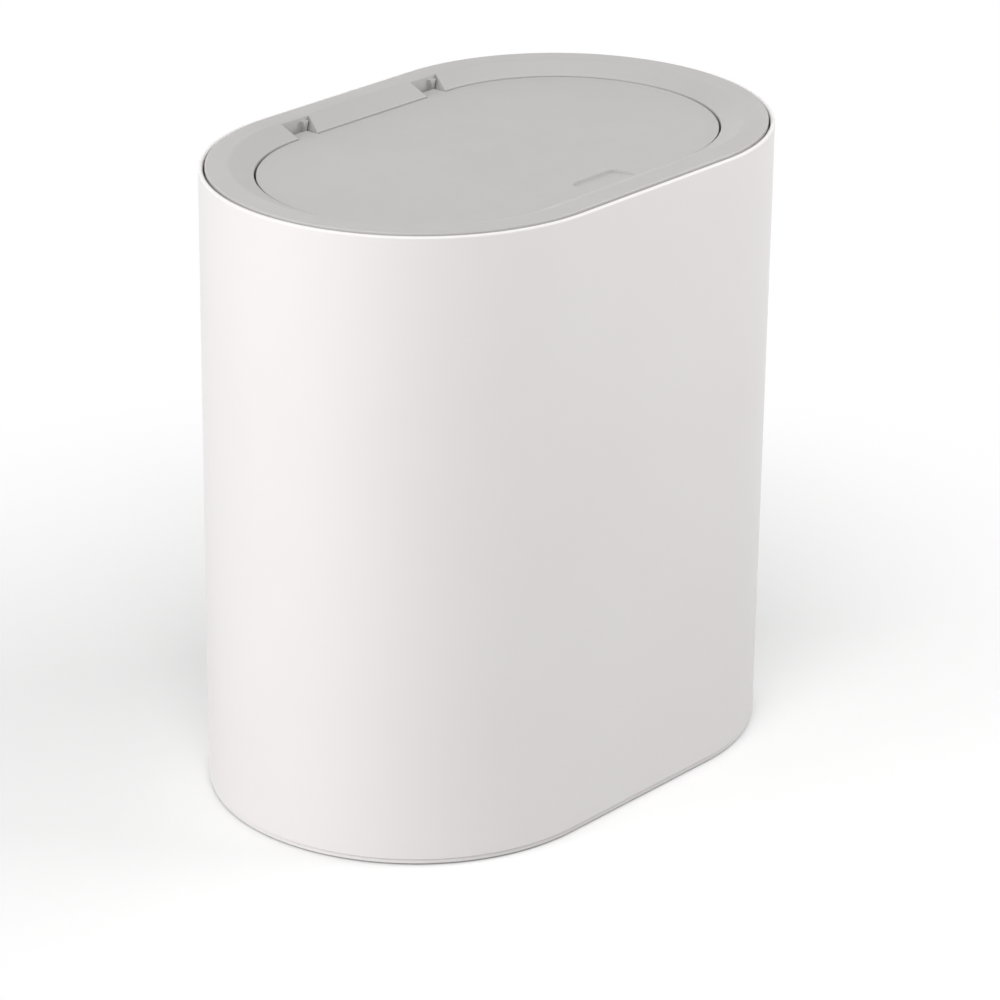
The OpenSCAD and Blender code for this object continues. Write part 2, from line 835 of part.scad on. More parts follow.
// Bent wire that follows the slider's track
module latch_cam_pin() {
  low = bore_z + 1;
  tip = latch_y + slider_d / 2 - groove_d + 0.2;
  color(steel)
    union() {
      translate([0, cam_y, low])
        cylinder(d = cam_d, h = cam_tip_z - low);
      translate([0, cam_y, cam_tip_z])
        sphere(d = cam_d);
      translate([0, tip, cam_tip_z])
        rotate([-90, 0, 0])
          cylinder(d = cam_d, h = cam_y - tip);
    }
}

// Pan-head screw that points up from below, with a cross recess
module latch_screw(side) {
  color(steel)
    translate([side * screw_span / 2, latch_y, shelf_under - housing_ear_t])
      difference() {
        union() {
          translate([0, 0, -screw_head_t])
            cylinder(r1 = screw_head_r - 0.4, r2 = screw_head_r, h = screw_head_t);
          translate([0, 0, -screw_head_t / 2])
            cylinder(d = screw_d - 0.1, h = screw_l + screw_head_t / 2);
        }
        for (a = [0, 90])
          rotate([0, 0, a])
            block([-1.1, -0.25, -screw_head_t - over], [1.1, 0.25, -screw_head_t / 2]);
      }
}

// Striker under the flap: a plate on two bosses and a headed stem that the claws hold
module latch_striker() {
  color(acetal)
    difference() {
      union() {
        block([-striker_w / 2 + 3, latch_y - striker_d / 2, striker_under],
              [striker_w / 2 - 3, latch_y + striker_d / 2, striker_top]);
        for (side = [-1, 1])
          translate([side * (striker_w / 2 - 3), latch_y, striker_under])
            cylinder(d = striker_d, h = striker_t);
        block([-stem_half, latch_y - stem_d / 2, head_top - head_t / 2],
              [stem_half, latch_y + stem_d / 2, striker_under + bite]);
        translate([0, latch_y + stem_d / 2, 0])
          rotate([90, 0, 0])
            linear_extrude(stem_d)
              polygon([
                [-head_half, head_top],
                [-head_half, head_top - head_t / 3],
                [-head_half / 2, head_top - head_t],
                [head_half / 2, head_top - head_t],
                [head_half, head_top - head_t / 3],
                [head_half, head_top]
              ]);
      }
      for (side = [-1, 1])
        translate([side * striker_span / 2, latch_y, striker_under - over]) {
          cylinder(d = screw_d + 0.2, h = striker_t + 2 * over);
          cylinder(r = screw_head_r + 0.1, h = over + 0.8);
        }
    }
}

// Flat-head screw sunk in the striker
module striker_screw(side) {
  length = striker_screw_top - striker_under;
  color(steel)
    translate([side * striker_span / 2, latch_y, striker_under])
      difference() {
        union() {
          cylinder(r = screw_head_r, h = 0.8);
          cylinder(d = screw_d - 0.1, h = length);
        }
        for (a = [0, 90])
          rotate([0, 0, a])
            block([-1.1, -0.25, -over], [1.1, 0.25, 0.5]);
      }
}

outer_barrel();
foot_pad(-1, -1);  // foot_pad_front_left
foot_pad(1, -1);  // foot_pad_front_right
foot_pad(-1, 1);  // foot_pad_rear_left
foot_pad(1, 1);  // foot_pad_rear_right
lid_frame();
lid_flap();
hinge_pin(-1);  // hinge_pin_left
hinge_pin(1);  // hinge_pin_right
torsion_spring(-1);  // torsion_spring_left
torsion_spring(1);  // torsion_spring_right
latch_housing();
latch_slider();
latch_spring();
latch_cam_pin();
latch_screw(-1);  // latch_screw_left
latch_screw(1);  // latch_screw_right
latch_striker();
striker_screw(-1);  // striker_screw_left
striker_screw(1);  // striker_screw_right
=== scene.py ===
import json
import math
import bmesh
import bpy
from mathutils import Matrix, Vector


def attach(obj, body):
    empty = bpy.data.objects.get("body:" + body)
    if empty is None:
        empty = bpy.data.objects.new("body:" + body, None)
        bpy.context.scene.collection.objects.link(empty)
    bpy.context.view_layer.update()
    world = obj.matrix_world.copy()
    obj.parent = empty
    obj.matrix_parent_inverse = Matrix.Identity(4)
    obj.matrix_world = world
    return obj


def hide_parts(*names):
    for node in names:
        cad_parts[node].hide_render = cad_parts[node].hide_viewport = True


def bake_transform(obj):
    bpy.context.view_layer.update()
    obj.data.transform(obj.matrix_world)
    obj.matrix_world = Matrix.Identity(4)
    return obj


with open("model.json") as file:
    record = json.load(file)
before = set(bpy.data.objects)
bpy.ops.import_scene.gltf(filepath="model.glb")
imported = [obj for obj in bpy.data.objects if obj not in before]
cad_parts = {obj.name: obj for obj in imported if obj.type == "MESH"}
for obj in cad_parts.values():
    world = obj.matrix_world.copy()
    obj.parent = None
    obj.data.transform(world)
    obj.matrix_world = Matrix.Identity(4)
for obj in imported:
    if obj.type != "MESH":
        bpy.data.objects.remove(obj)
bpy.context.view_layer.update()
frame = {"nodes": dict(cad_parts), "record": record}

# Sizes in the dictionaries are in millimetres, and the helpers set them down in metres
mm = 0.001
tiny = 1e-6        # metres within which two points count as one place
near = 0.1         # slack when edges and faces are picked by their place
overcut = 0.5      # how far a cutting tool reaches past the face that it cuts
sunk = 0.6         # how far an added piece reaches into the one that it is joined to
hair = 0.02        # keeps the faces of two pieces out of one plane while they are cut or joined
level = 0.9        # a face whose normal points up or down by more than this lies flat
weld = 0.001       # points of a swept shell that are nearer than this are made one
plan = {
    "length": 250.0,
    "width": 165.0,
    "height": 255.0,
    "endSteps": 96,
}
plan["halfStraight"] = (plan["length"] - plan["width"]) / 2      # each round end turns about its end


def at(x, y, z):
    return Vector((x, y, z)) * mm


def chooseOnly(*pieces):
    bpy.ops.object.select_all(action="DESELECT")
    for piece in pieces:
        piece.select_set(True)
    bpy.context.view_layer.objects.active = pieces[0]


def startEditing(piece):
    chooseOnly(piece)
    bpy.ops.object.mode_set(mode="EDIT")


def stopEditing():
    bpy.ops.object.mode_set(mode="OBJECT")


def pickParts(piece, kind, wanted):
    # kind is VERT, EDGE or FACE, and wanted says yes or no to one of them
    bpy.ops.mesh.select_mode(type=kind)
    bpy.ops.mesh.select_all(action="DESELECT")
    mesh = bmesh.from_edit_mesh(piece.data)
    parts = {"VERT": mesh.verts, "EDGE": mesh.edges, "FACE": mesh.faces}[kind]
    for part in parts:
        if wanted(part):
            part.select_set(True)
    mesh.select_flush_mode()
    bmesh.update_edit_mesh(piece.data)


def middleOf(edge):
    return (edge.verts[0].co + edge.verts[1].co) / 2


def settleOrigin(piece):
    chooseOnly(piece)
    bpy.ops.object.transform_apply(location=True, rotation=True, scale=True)


def nameNew(name):
    # Names what an operator has just added, and sets its place down in its mesh
    piece = bpy.context.active_object
    piece.name = name
    piece.data.name = name
    settleOrigin(piece)
    return piece


def applyAll(piece):
    chooseOnly(piece)
    for modifier in list(piece.modifiers):
        bpy.ops.object.modifier_apply(modifier=modifier.name)


wideFaces = 80      # over 50, wide faces count for more in the shading of the edges that they share
wireAngle = 50      # degrees up to which a wire is shaded smooth, where other pieces stop at 35


def smoothPiece(piece, angle=35):
    chooseOnly(piece)
    bpy.ops.object.shade_smooth_by_angle(angle=math.radians(angle))
    modifier = piece.modifiers.new("even shading", "WEIGHTED_NORMAL")
    modifier.keep_sharp = True
    modifier.weight = wideFaces
    applyAll(piece)


sharpFrom = 25      # degrees between the faces of an edge that is sharp enough to be rounded


def bevelEdges(piece, width, wanted, segments=3):
    # Rounds the sharp edges that are wanted
    startEditing(piece)
    pickParts(piece, "EDGE", lambda e: len(e.link_faces) == 2 and
              e.calc_face_angle() > math.radians(sharpFrom) and wanted(e))
    bpy.ops.mesh.bevel(offset=width * mm, segments=segments, affect="EDGES", clamp_overlap=True)
    stopEditing()


def sliceOff(piece, place, outwards):
    # Cuts a closed piece at a plane, takes off what lies outwards, and closes the cut
    startEditing(piece)
    bpy.ops.mesh.select_all(action="SELECT")
    bpy.ops.mesh.bisect(plane_co=place, plane_no=outwards, use_fill=True, clear_outer=True)
    stopEditing()


def cutWith(piece, tool, operation="DIFFERENCE"):
    modifier = piece.modifiers.new("cut", "BOOLEAN")
    modifier.operation = operation
    modifier.solver = "EXACT"
    modifier.object = tool
    applyAll(piece)
    bpy.data.objects.remove(tool, do_unlink=True)


def joinPieces(pieces):
    chooseOnly(*pieces)
    bpy.ops.object.join()
    return bpy.context.active_object


def placeCopies(piece, shifts):
    # One copy with its own mesh for each shift (x, y, z)
    copies = []
    for shift in shifts:
        chooseOnly(piece)
        bpy.ops.object.duplicate(linked=False)
        copy = bpy.context.active_object
        copy.location = at(*shift)
        settleOrigin(copy)
        copies.append(copy)
    bpy.data.objects.remove(piece, do_unlink=True)
    return copies


def cleanMesh(piece, distance=0.002):
    startEditing(piece)
    bpy.ops.mesh.select_all(action="SELECT")
    bpy.ops.mesh.remove_doubles(threshold=distance * mm)
    bpy.ops.mesh.dissolve_degenerate(threshold=distance * mm)
    bpy.ops.mesh.normals_make_consistent(inside=False)
    stopEditing()


def arcPoints(acrossMiddle, upMiddle, radius, fromAngle, toAngle, steps):
    turn = [math.radians(fromAngle + (toAngle - fromAngle) * i / steps) for i in range(steps + 1)]
    return [(acrossMiddle + radius * math.cos(a), upMiddle + radius * math.sin(a)) for a in turn]


def roundCorners(corners, stepAngle=12):
    # Outline whose corners, given as (across, up, rounding), turn in small arcs
    points = []
    for i, (across, up, rounding) in enumerate(corners):
        here = Vector((across, up))
        if not rounding:
            points.append((across, up))
            continue
        before = (Vector(corners[i - 1][:2]) - here).normalized()
        after = (Vector(corners[(i + 1) % len(corners)][:2]) - here).normalized()
        half = before.angle(after) / 2
        middle = here + (before + after).normalized() * (rounding / math.sin(half))
        start = here + before * (rounding / math.tan(half)) - middle
        end = here + after * (rounding / math.tan(half)) - middle
        fromAngle = math.degrees(math.atan2(start.y, start.x))
        turn = (math.degrees(math.atan2(end.y, end.x)) - fromAngle + 180) % 360 - 180
        steps = max(2, round(abs(turn) / stepAngle))
        points += arcPoints(middle.x, middle.y, rounding, fromAngle, fromAngle + turn, steps)
    return points


def sweepStadium(name, section, closed=False):
    # Carries a loop of points round the stadium from one (radius, height) of the section to the next.
    # One end is made with the circle tool, drawn out to the middle, and mirrored at the end.
    half = plan["halfStraight"] * mm
    section = [(radius * mm, height * mm) for radius, height in section]
    bpy.ops.object.select_all(action="DESELECT")
    bpy.ops.mesh.primitive_circle_add(
        vertices=2 * plan["endSteps"], radius=section[0][0], location=(half, 0, section[0][1]))
    piece = nameNew(name)
    startEditing(piece)
    pickParts(piece, "VERT", lambda v: v.co.x < half - tiny)
    bpy.ops.mesh.delete(type="VERT")
    for side in (-1, 1):
        pickParts(piece, "VERT", lambda v: abs(v.co.x - half) < tiny and v.co.y * side > 0)
        bpy.ops.mesh.extrude_vertices_move(TRANSFORM_OT_translate={"value": (-half, 0, 0)})
    pickParts(piece, "VERT", lambda v: True)
    radius, height = section[0]
    for nextRadius, nextHeight in section[1:] + ([section[0]] if closed else []):
        bpy.ops.mesh.extrude_edges_move(
            TRANSFORM_OT_translate={"value": (0, 0, nextHeight - height)})
        if abs(nextRadius - radius) > tiny / 100:
            growRing(piece, nextRadius / radius)
        radius, height = nextRadius, nextHeight
    bpy.ops.mesh.select_all(action="SELECT")
    bpy.ops.mesh.remove_doubles(threshold=weld * mm)
    stopEditing()
    modifier = piece.modifiers.new("other half", "MIRROR")
    modifier.use_axis[0] = True
    modifier.merge_threshold = weld * mm
    applyAll(piece)
    if not closed:
        closeEnds(piece)
    cleanMesh(piece)
    return piece


def growRing(piece, factor):
    # The straight side moves out in Y, and the round end grows about its own middle
    half = plan["halfStraight"] * mm
    mesh = bmesh.from_edit_mesh(piece.data)
    ring = [v for v in mesh.verts if v.select]
    bpy.ops.transform.resize(value=(1, factor, 1), center_override=(0, 0, 0))
    for v in ring:
        if v.co.x < half + tiny:
            v.select_set(False)
    mesh.select_flush_mode()
    bpy.ops.transform.resize(value=(factor, 1, 1), center_override=(half, 0, 0))
    for v in ring:
        v.select_set(True)
    mesh.select_flush_mode()
    bmesh.update_edit_mesh(piece.data)


def closeEnds(piece):
    # Fills the lowest and the highest open loop of a swept shell
    startEditing(piece)
    bpy.ops.mesh.select_mode(type="EDGE")
    for high in (False, True):
        bpy.ops.mesh.select_all(action="DESELECT")
        mesh = bmesh.from_edit_mesh(piece.data)
        rims = [e for e in mesh.edges if e.is_boundary]
        if not rims:
            break
        limit = (max if high else min)(middleOf(e).z for e in rims)
        for e in rims:
            e.select_set(abs(middleOf(e).z - limit) < tiny)
        mesh.select_flush_mode()
        bmesh.update_edit_mesh(piece.data)
        bpy.ops.mesh.edge_face_add()
    stopEditing()


def addBlock(name, low, high, bevel=0.0, segments=2):
    low, high = at(*low), at(*high)
    bpy.ops.object.select_all(action="DESELECT")
    bpy.ops.mesh.primitive_cube_add(size=1, location=(low + high) / 2, scale=high - low)
    piece = nameNew(name)
    if bevel:
        startEditing(piece)
        bpy.ops.mesh.select_all(action="SELECT")
        bpy.ops.mesh.bevel(offset=bevel * mm, segments=segments, affect="EDGES")
        stopEditing()
    return piece


fineSteps = 64      # sides of the widest rounds
headSteps = 40


def addRod(name, start, end, radius, steps=32, bevel=0.0):
    start, end = at(*start), at(*end)
    along = end - start
    turn = along.to_track_quat("Z", "Y").to_euler()
    bpy.ops.object.select_all(action="DESELECT")
    bpy.ops.mesh.primitive_cylinder_add(
        vertices=steps, radius=radius * mm, depth=along.length, location=(start + end) / 2, rotation=turn)
    piece = nameNew(name)
    if bevel:
        startEditing(piece)
        pickParts(piece, "FACE", lambda f: len(f.verts) > 4)
        bpy.ops.mesh.region_to_loop()
        bpy.ops.mesh.bevel(offset=bevel * mm, segments=3, affect="EDGES")
        stopEditing()
    return piece


def drawLine(name, places):
    # Draws a line from place to place, and leaves it in edit mode
    bpy.ops.object.select_all(action="DESELECT")
    bpy.ops.mesh.primitive_plane_add(size=mm, location=places[0])
    piece = nameNew(name)
    startEditing(piece)
    bpy.ops.mesh.select_mode(type="VERT")
    bpy.ops.mesh.select_all(action="SELECT")
    bpy.ops.mesh.merge(type="CENTER")
    for here, there in zip(places, places[1:]):
        bpy.ops.mesh.extrude_vertices_move(TRANSFORM_OT_translate={"value": there - here})
    return piece


def tracePlate(name, outline, across, start, end):
    # Draws an outline, fills it, and pulls it out along the axis across
    axis = "XYZ".index(across)

    def placed(point, depth):
        place = list(point)
        place.insert(axis, depth)
        return at(*place)

    piece = drawLine(name, [placed(point, start) for point in outline])
    pickParts(piece, "VERT", lambda v: len(v.link_edges) == 1)
    bpy.ops.mesh.edge_face_add()
    bpy.ops.mesh.select_all(action="SELECT")
    bpy.ops.mesh.edge_face_add()
    bpy.ops.mesh.extrude_region_move(
        TRANSFORM_OT_translate={"value": placed(outline[0], end) - placed(outline[0], start)})
    bpy.ops.mesh.select_all(action="SELECT")
    bpy.ops.mesh.normals_make_consistent(inside=False)
    stopEditing()
    return piece


def traceWire(name, points, radius, sides=4):
    # Draws a line, gives it a round section, and makes it a mesh
    piece = drawLine(name, [at(*point) for point in points])
    stopEditing()
    chooseOnly(piece)
    bpy.ops.object.convert(target="CURVE")
    piece.data.bevel_depth = radius * mm
    piece.data.bevel_resolution = sides
    piece.data.use_fill_caps = True
    bpy.ops.object.convert(target="MESH")
    piece.data.name = name
    cleanMesh(piece)
    return piece


def dress(piece, node, material):
    # The piece is named after its node: footPadRearLeft for foot_pad_rear_left
    words = node.split("_")
    piece.name = words[0] + "".join(word.capitalize() for word in words[1:])
    piece.data.name = piece.name
    piece.data.materials.clear()
    piece.data.materials.append(material)
    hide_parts(node)


def finish(piece, body, node, material):
    dress(piece, node, material)
    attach(piece, body)


# Materials: each reads its pattern from the piece's own place

def newMaterial(name):
    material = bpy.data.materials.new(name)
    material.use_nodes = True
    nodes = material.node_tree.nodes
    nodes.clear()
    output = nodes.new("ShaderNodeOutputMaterial")
    shader = nodes.new("ShaderNodeBsdfPrincipled")
    material.node_tree.links.new(shader.outputs["BSDF"], output.inputs["Surface"])
    return material, shader


def addNode(material, kind, **settings):
    node = material.node_tree.nodes.new(kind)
    for key, value in settings.items():
        if key in node.inputs:
            node.inputs[key].default_value = value
        else:
            setattr(node, key, value)
    return node


def link(material, output, target):
    material.node_tree.links.new(output, target)


def noiseOf(material, place, scale, detail, roughness=0.5):
    noise = addNode(material, "ShaderNodeTexNoise", Scale=scale, Detail=detail, Roughness=roughness)
    link(material, place, noise.inputs["Vector"])
    return noise


noiseSpan = (0.3, 0.7)      # a noise keeps near its middle, and seldom leaves this range


def spread(material, source, low, high):
    # Brings a noise to the range from low to high
    node = addNode(material, "ShaderNodeMapRange")
    node.inputs["From Min"].default_value, node.inputs["From Max"].default_value = noiseSpan
    node.inputs["To Min"].default_value = low
    node.inputs["To Max"].default_value = high
    link(material, source, node.inputs["Value"])
    return node.outputs["Result"]


def blendColours(material, amount, first, second):
    mix = addNode(material, "ShaderNodeMix", data_type="RGBA")
    mix.inputs[6].default_value = first
    mix.inputs[7].default_value = second
    link(material, amount, mix.inputs[0])
    return mix.outputs[2]


barrelFinish = {
    "colour": (0.914, 0.888, 0.88, 1),
    "shade": (0.898, 0.868, 0.858, 1),
    "roughness": (0.36, 0.44),
    "specular": 0.36,
    "grain": 2600.0,
    "grainDepth": 0.006,
    "wave": 14.0,
    "waveDepth": 0.05,
}
lidFinish = {
    "colour": (0.516, 0.503, 0.492, 1),
    "shade": (0.5, 0.486, 0.475, 1),
    "roughness": (0.42, 0.5),
    "specular": 0.5,
    "grain": 2200.0,
    "grainDepth": 0.012,
    "wave": 16.0,
    "waveDepth": 0.02,
}
latchFinish = {
    "colour": (0.8, 0.795, 0.775, 1),
    "shade": (0.77, 0.765, 0.745, 1),
    "roughness": (0.28, 0.36),
    "specular": 0.5,
    "grain": 1800.0,
    "grainDepth": 0.004,
    "wave": 60.0,
    "waveDepth": 0.01,
}
padFinish = {
    "colour": (0.26, 0.26, 0.265, 1),
    "shade": (0.22, 0.22, 0.225, 1),
    "roughness": (0.6, 0.75),
    "specular": 0.4,
    "grain": 1500.0,
    "grainDepth": 0.02,
    "wave": 80.0,
    "waveDepth": 0.01,
}
steelFinish = {
    "colour": (0.62, 0.63, 0.65, 1),
    "shade": (0.52, 0.53, 0.55, 1),
    "roughness": (0.2, 0.34),
    "grain": 900.0,
    "grainDepth": 0.004,
    "stretch": (0.08, 1.0, 1.0),
}
zincFinish = {
    "colour": (0.66, 0.67, 0.66, 1),
    "shade": (0.55, 0.56, 0.55, 1),
    "roughness": (0.26, 0.42),
    "grain": 1400.0,
    "grainDepth": 0.003,
    "stretch": (1.0, 1.0, 1.0),
}


scuffsPerWave = 6
plasticIor = 1.49


def mouldedPlastic(name, settings):
    # Fine mould grain over a slow wave of the surface, with patches a little smoother than others
    material, shader = newMaterial(name)
    place = addNode(material, "ShaderNodeTexCoord").outputs["Object"]
    cloud = noiseOf(material, place, settings["wave"], detail=3.0).outputs["Fac"]
    colour = blendColours(material, spread(material, cloud, 0.0, 1.0), settings["colour"], settings["shade"])
    link(material, colour, shader.inputs["Base Color"])
    scuffs = noiseOf(material, place, settings["wave"] * scuffsPerWave, detail=6.0, roughness=0.65)
    link(material, spread(material, scuffs.outputs["Fac"], *settings["roughness"]),
         shader.inputs["Roughness"])
    grain = noiseOf(material, place, settings["grain"], detail=3.0, roughness=0.6).outputs["Fac"]
    grainBump = addNode(material, "ShaderNodeBump", Strength=1.0, Distance=settings["grainDepth"] * mm)
    link(material, grain, grainBump.inputs["Height"])
    waveBump = addNode(material, "ShaderNodeBump", Strength=1.0, Distance=settings["waveDepth"] * mm)
    link(material, cloud, waveBump.inputs["Height"])
    link(material, grainBump.outputs["Normal"], waveBump.inputs["Normal"])
    link(material, waveBump.outputs["Normal"], shader.inputs["Normal"])
    shader.inputs["IOR"].default_value = plasticIor
    shader.inputs["Specular IOR Level"].default_value = settings["specular"]
    return material


def workedSteel(name, settings):
    # Fine lines along X on drawn wire, or an even mottle on plating
    material, shader = newMaterial(name)
    place = addNode(material, "ShaderNodeTexCoord").outputs["Object"]
    stretch = addNode(material, "ShaderNodeMapping")
    stretch.inputs["Scale"].default_value = settings["stretch"]
    link(material, place, stretch.inputs["Vector"])
    lines = noiseOf(material, stretch.outputs["Vector"], settings["grain"], detail=4.0).outputs["Fac"]
    colour = blendColours(material, spread(material, lines, 0.0, 1.0), settings["colour"], settings["shade"])
    link(material, colour, shader.inputs["Base Color"])
    link(material, spread(material, lines, *settings["roughness"]), shader.inputs["Roughness"])
    bump = addNode(material, "ShaderNodeBump", Strength=1.0, Distance=settings["grainDepth"] * mm)
    link(material, lines, bump.inputs["Height"])
    link(material, bump.outputs["Normal"], shader.inputs["Normal"])
    shader.inputs["Metallic"].default_value = 1.0
    return material


barrelPlastic = mouldedPlastic("satin white barrel", barrelFinish)
lidPlastic = mouldedPlastic("fine matt grey lid", lidFinish)
latchPlastic = mouldedPlastic("natural acetal", latchFinish)
padRubber = mouldedPlastic("pad rubber", padFinish)
drawnSteel = workedSteel("drawn spring steel", steelFinish)
zincPlate = workedSteel("zinc plated screws", zincFinish)
slotMaterials = {
    "barrel": barrelPlastic,
    "lid": lidPlastic,
    "latch_parts": latchPlastic,
    "pads": padRubber,
    "pins": drawnSteel,
    "springs": drawnSteel,
    "screws": zincPlate,
}
for part in frame["record"]["subparts"]:
    slots = frame["nodes"][part["node"]].data.materials
    slots.clear()
    slots.append(slotMaterials[part["material_slot"]])
print("materials ready")


# Barrel

barrelShape = {
    "rimRadius": plan["width"] / 2,
    "baseRadius": 82.0,
    "wall": 1.8,
    "rimHeight": 254.2,
    "footHeight": 0.6,
    "stepHeight": 2.6,
    "footStep": 0.7,
    "footWall": 2.4,
    "edge": 0.4,
    "footInsideEdge": 0.3,
    "outsideRings": (20, 130, 240),      # heights at which the tall wall is divided
    "insideRings": (200, 60),
    "floorHeight": 5.0,
    "floorFillet": 6.0,
    "floorMiddle": 10.0,                 # radius of the middle, which is filled flat
    "seatHeight": 247.0,
    "seatRadius": 79.0,
    "seatLip": 0.85,
    "seatEdge": 0.2,
    "beadFoot": 243.6,
    "beadRound": 0.5,
    "padRing": (6.4, 7.6, 0.2, 0.3),     # inner and outer radius, edge, depth in the base
}
padPlaces = {
    "foot_pad_front_left": (-62, -38, 0),
    "foot_pad_front_right": (62, -38, 0),
    "foot_pad_rear_left": (-62, 38, 0),
    "foot_pad_rear_right": (62, 38, 0),
}


def makeBarrel(s):
    def outside(z):
        share = (z - s["stepHeight"]) / (s["rimHeight"] - s["stepHeight"])
        return s["baseRadius"] + (s["rimRadius"] - s["baseRadius"]) * share

    foot = s["baseRadius"] - s["footStep"]
    section = roundCorners([
        (foot - s["footWall"], s["stepHeight"], 0),
        (foot - s["footWall"], s["footHeight"], s["footInsideEdge"]),
        (foot, s["footHeight"], s["edge"]),
        (foot, s["stepHeight"], 0),
        (s["baseRadius"], s["stepHeight"], s["edge"]),
        *[(outside(z), z, 0) for z in s["outsideRings"]],
        (s["rimRadius"], s["rimHeight"], s["wall"] / 2),
        (s["rimRadius"] - s["wall"], s["rimHeight"], s["wall"] / 2),
        (s["rimRadius"] - s["wall"], s["seatHeight"], 0),
        (s["seatRadius"], s["seatHeight"], s["seatEdge"]),
        (s["seatRadius"], s["seatHeight"] - s["seatLip"], s["seatEdge"]),
        (outside(s["beadFoot"]) - s["wall"], s["beadFoot"], s["beadRound"]),
        *[(outside(z) - s["wall"], z, 0) for z in s["insideRings"]],
        (outside(s["floorHeight"]) - s["wall"], s["floorHeight"], s["floorFillet"]),
        (s["floorMiddle"], s["floorHeight"], 0),
    ])
    barrel = sweepStadium("barrelShell", section)
    inner, outer, edge, depth = s["padRing"]
    ring = addRod("padRing", (0, 0, s["footHeight"] + s["edge"]), (0, 0, s["stepHeight"] + depth), outer,
                  fineSteps, edge)
    cutWith(ring, addRod("padHollow", (0, 0, 0), (0, 0, s["stepHeight"]), inner, fineSteps))
    cutWith(barrel, joinPieces(placeCopies(ring, padPlaces.values())), "UNION")
    cleanMesh(barrel)
    smoothPiece(barrel)
    finish(barrel, "barrel", "outer_barrel", barrelPlastic)


makeBarrel(barrelShape)
print("barrel made")


# Lid frame

hinge = {
    "places": ((-37, 0, 0), (37, 0, 0)),
    "axis": (66.2, 248.5),
    "pinRadius": 1.0,
    "pinEdge": 0.25,
    "boreRadius": 1.05,
    "endPlay": 0.3,
    "recess": (1.7, 6.9),                         # radius, and how far it reaches to the right
    "pinEnds": (-16.0, 8.3),
    "headRadius": 1.8,
    "headDepth": 0.8,
    "headRound": 0.35,
    "boss": (-15.2, -13.6),
    "pocket": (-6.0, 6.0, 61.6, 70.4, 245.6),     # left, right, front, back, floor
    "pocketWall": 1.6,
    "sideStock": 12.0,                            # width to the right that is trimmed to the leaning side
    "flare": 21.12,
    "lean": 12.01,
    "edge": 0.32,
    "edgeReach": (4.5, 1.5),                      # to the right, and below the throat's top
    "legSlot": (2.58, 3.78, 132.7, 232.7),        # inner and outer radius, from and to angle
    "legSlotSteps": 12,
    "web": (1.8, 3.0, 6.0, 1.2, 0.4),             # depth, width, height, slit, drop below the dish
    "webPoint": 0.4,                              # share of the width at which its lowest point lies
    "webEdge": 0.2,
    "tongue": (-5.8, 4.396, 58.8),                # left, right, front
    "tongueEdge": 0.25,
    "knuckle": (2.1, 90, -177.3, 24),             # radius, from and to angle, steps
    "heel": (-5.8, -3.0, 62.7, 64.9, 246.8),      # left, right, front, back, low
    "heelEdge": 0.2,
}
lidShape = {
    "outerRadius": 80.0,
    "top": plan["height"],
    "outerEdge": 0.8,
    "edge": 0.3,
    "seatEdge": 0.2,
    "fillet": 0.4,
    "bandFillets": (2.0, 0.6),      # under the band, at the dish and at the skirt
    "dishRadius": 71.0,
    "dishBend": 6.0,
    "throatRadius": 61.6,
    "throatTop": 251.0,
    "throatWall": 1.6,
    "throatEdge": 0.5,
    "dishWall": 1.74,
    "bandWall": 2.0,
    "ledge": (57.5, 243.8, 245.6),      # radius, underside, top
    "skirt": (76.8, 78.6, 235.0),       # inner and outer radius, low
    "seat": 247.0,
    "gusset": (0.7, 246.0),             # half thickness, low
    "gussetsRoundEnd": 5,
    "cover": 0.7,                       # plastic left above the gussets and pocket walls
}
shelf = {
    "middle": -55.0,
    "half": 17.0,
    "halfInside": 15.2,
    "front": -63.15,
    "back": -46.9,
    "low": 237.0,
    "floor": 240.6,
    "window": (12.8, 8.4),      # width, depth
    "screwPlace": 12.5,
    "screwRadius": 1.1,
    "screwCover": 0.4,
    "edge": 0.3,
    "edgesAbove": 1.0,          # height over the floor from which its room's edges are rounded
}


def dishHeight(s, radius):
    return s["throatTop"] + (s["top"] - s["throatTop"]) * (radius - s["throatRadius"]) / (
        s["dishRadius"] - s["throatRadius"])


def pocketSide(piece, grow=0.0):
    # Trims a block to the pocket's right side, which flares to the back and leans in downwards
    flare, lean = math.radians(hinge["flare"]), math.radians(hinge["lean"])
    outwards = Vector((math.cos(lean) * math.cos(flare), -math.cos(lean) * math.sin(flare), -math.sin(lean)))
    _, right, front, _, _ = hinge["pocket"]
    sliceOff(piece, at(right, front, lidShape["top"]) + outwards * grow * mm, outwards)


def frameSection(s):
    ledgeRadius, ledgeUnder, ledgeTop = s["ledge"]
    skirtIn, skirtOut, skirtLow = s["skirt"]
    throatOut = s["throatRadius"] + s["throatWall"]
    slope = dishHeight(s, 1) - dishHeight(s, 0)
    underBand = s["dishRadius"] - (s["bandWall"] - s["dishWall"]) / slope
    return roundCorners([
        (skirtOut, s["seat"], s["seatEdge"]),
        (s["outerRadius"], s["seat"], s["edge"]),
        (s["outerRadius"], s["top"], s["outerEdge"]),
        (s["dishRadius"], s["top"], s["dishBend"]),
        (s["throatRadius"], s["throatTop"], s["throatEdge"]),
        (s["throatRadius"], ledgeTop, s["edge"]),
        (ledgeRadius, ledgeTop, s["edge"]),
        (ledgeRadius, ledgeUnder, s["edge"]),
        (throatOut, ledgeUnder, s["fillet"]),
        (throatOut, dishHeight(s, throatOut) - s["dishWall"], s["fillet"]),
        (underBand, s["top"] - s["bandWall"], s["bandFillets"][0]),
        (skirtIn, s["top"] - s["bandWall"], s["bandFillets"][1]),
        (skirtIn, skirtLow, s["edge"]),
        (skirtOut, skirtLow, s["edge"]),
    ])


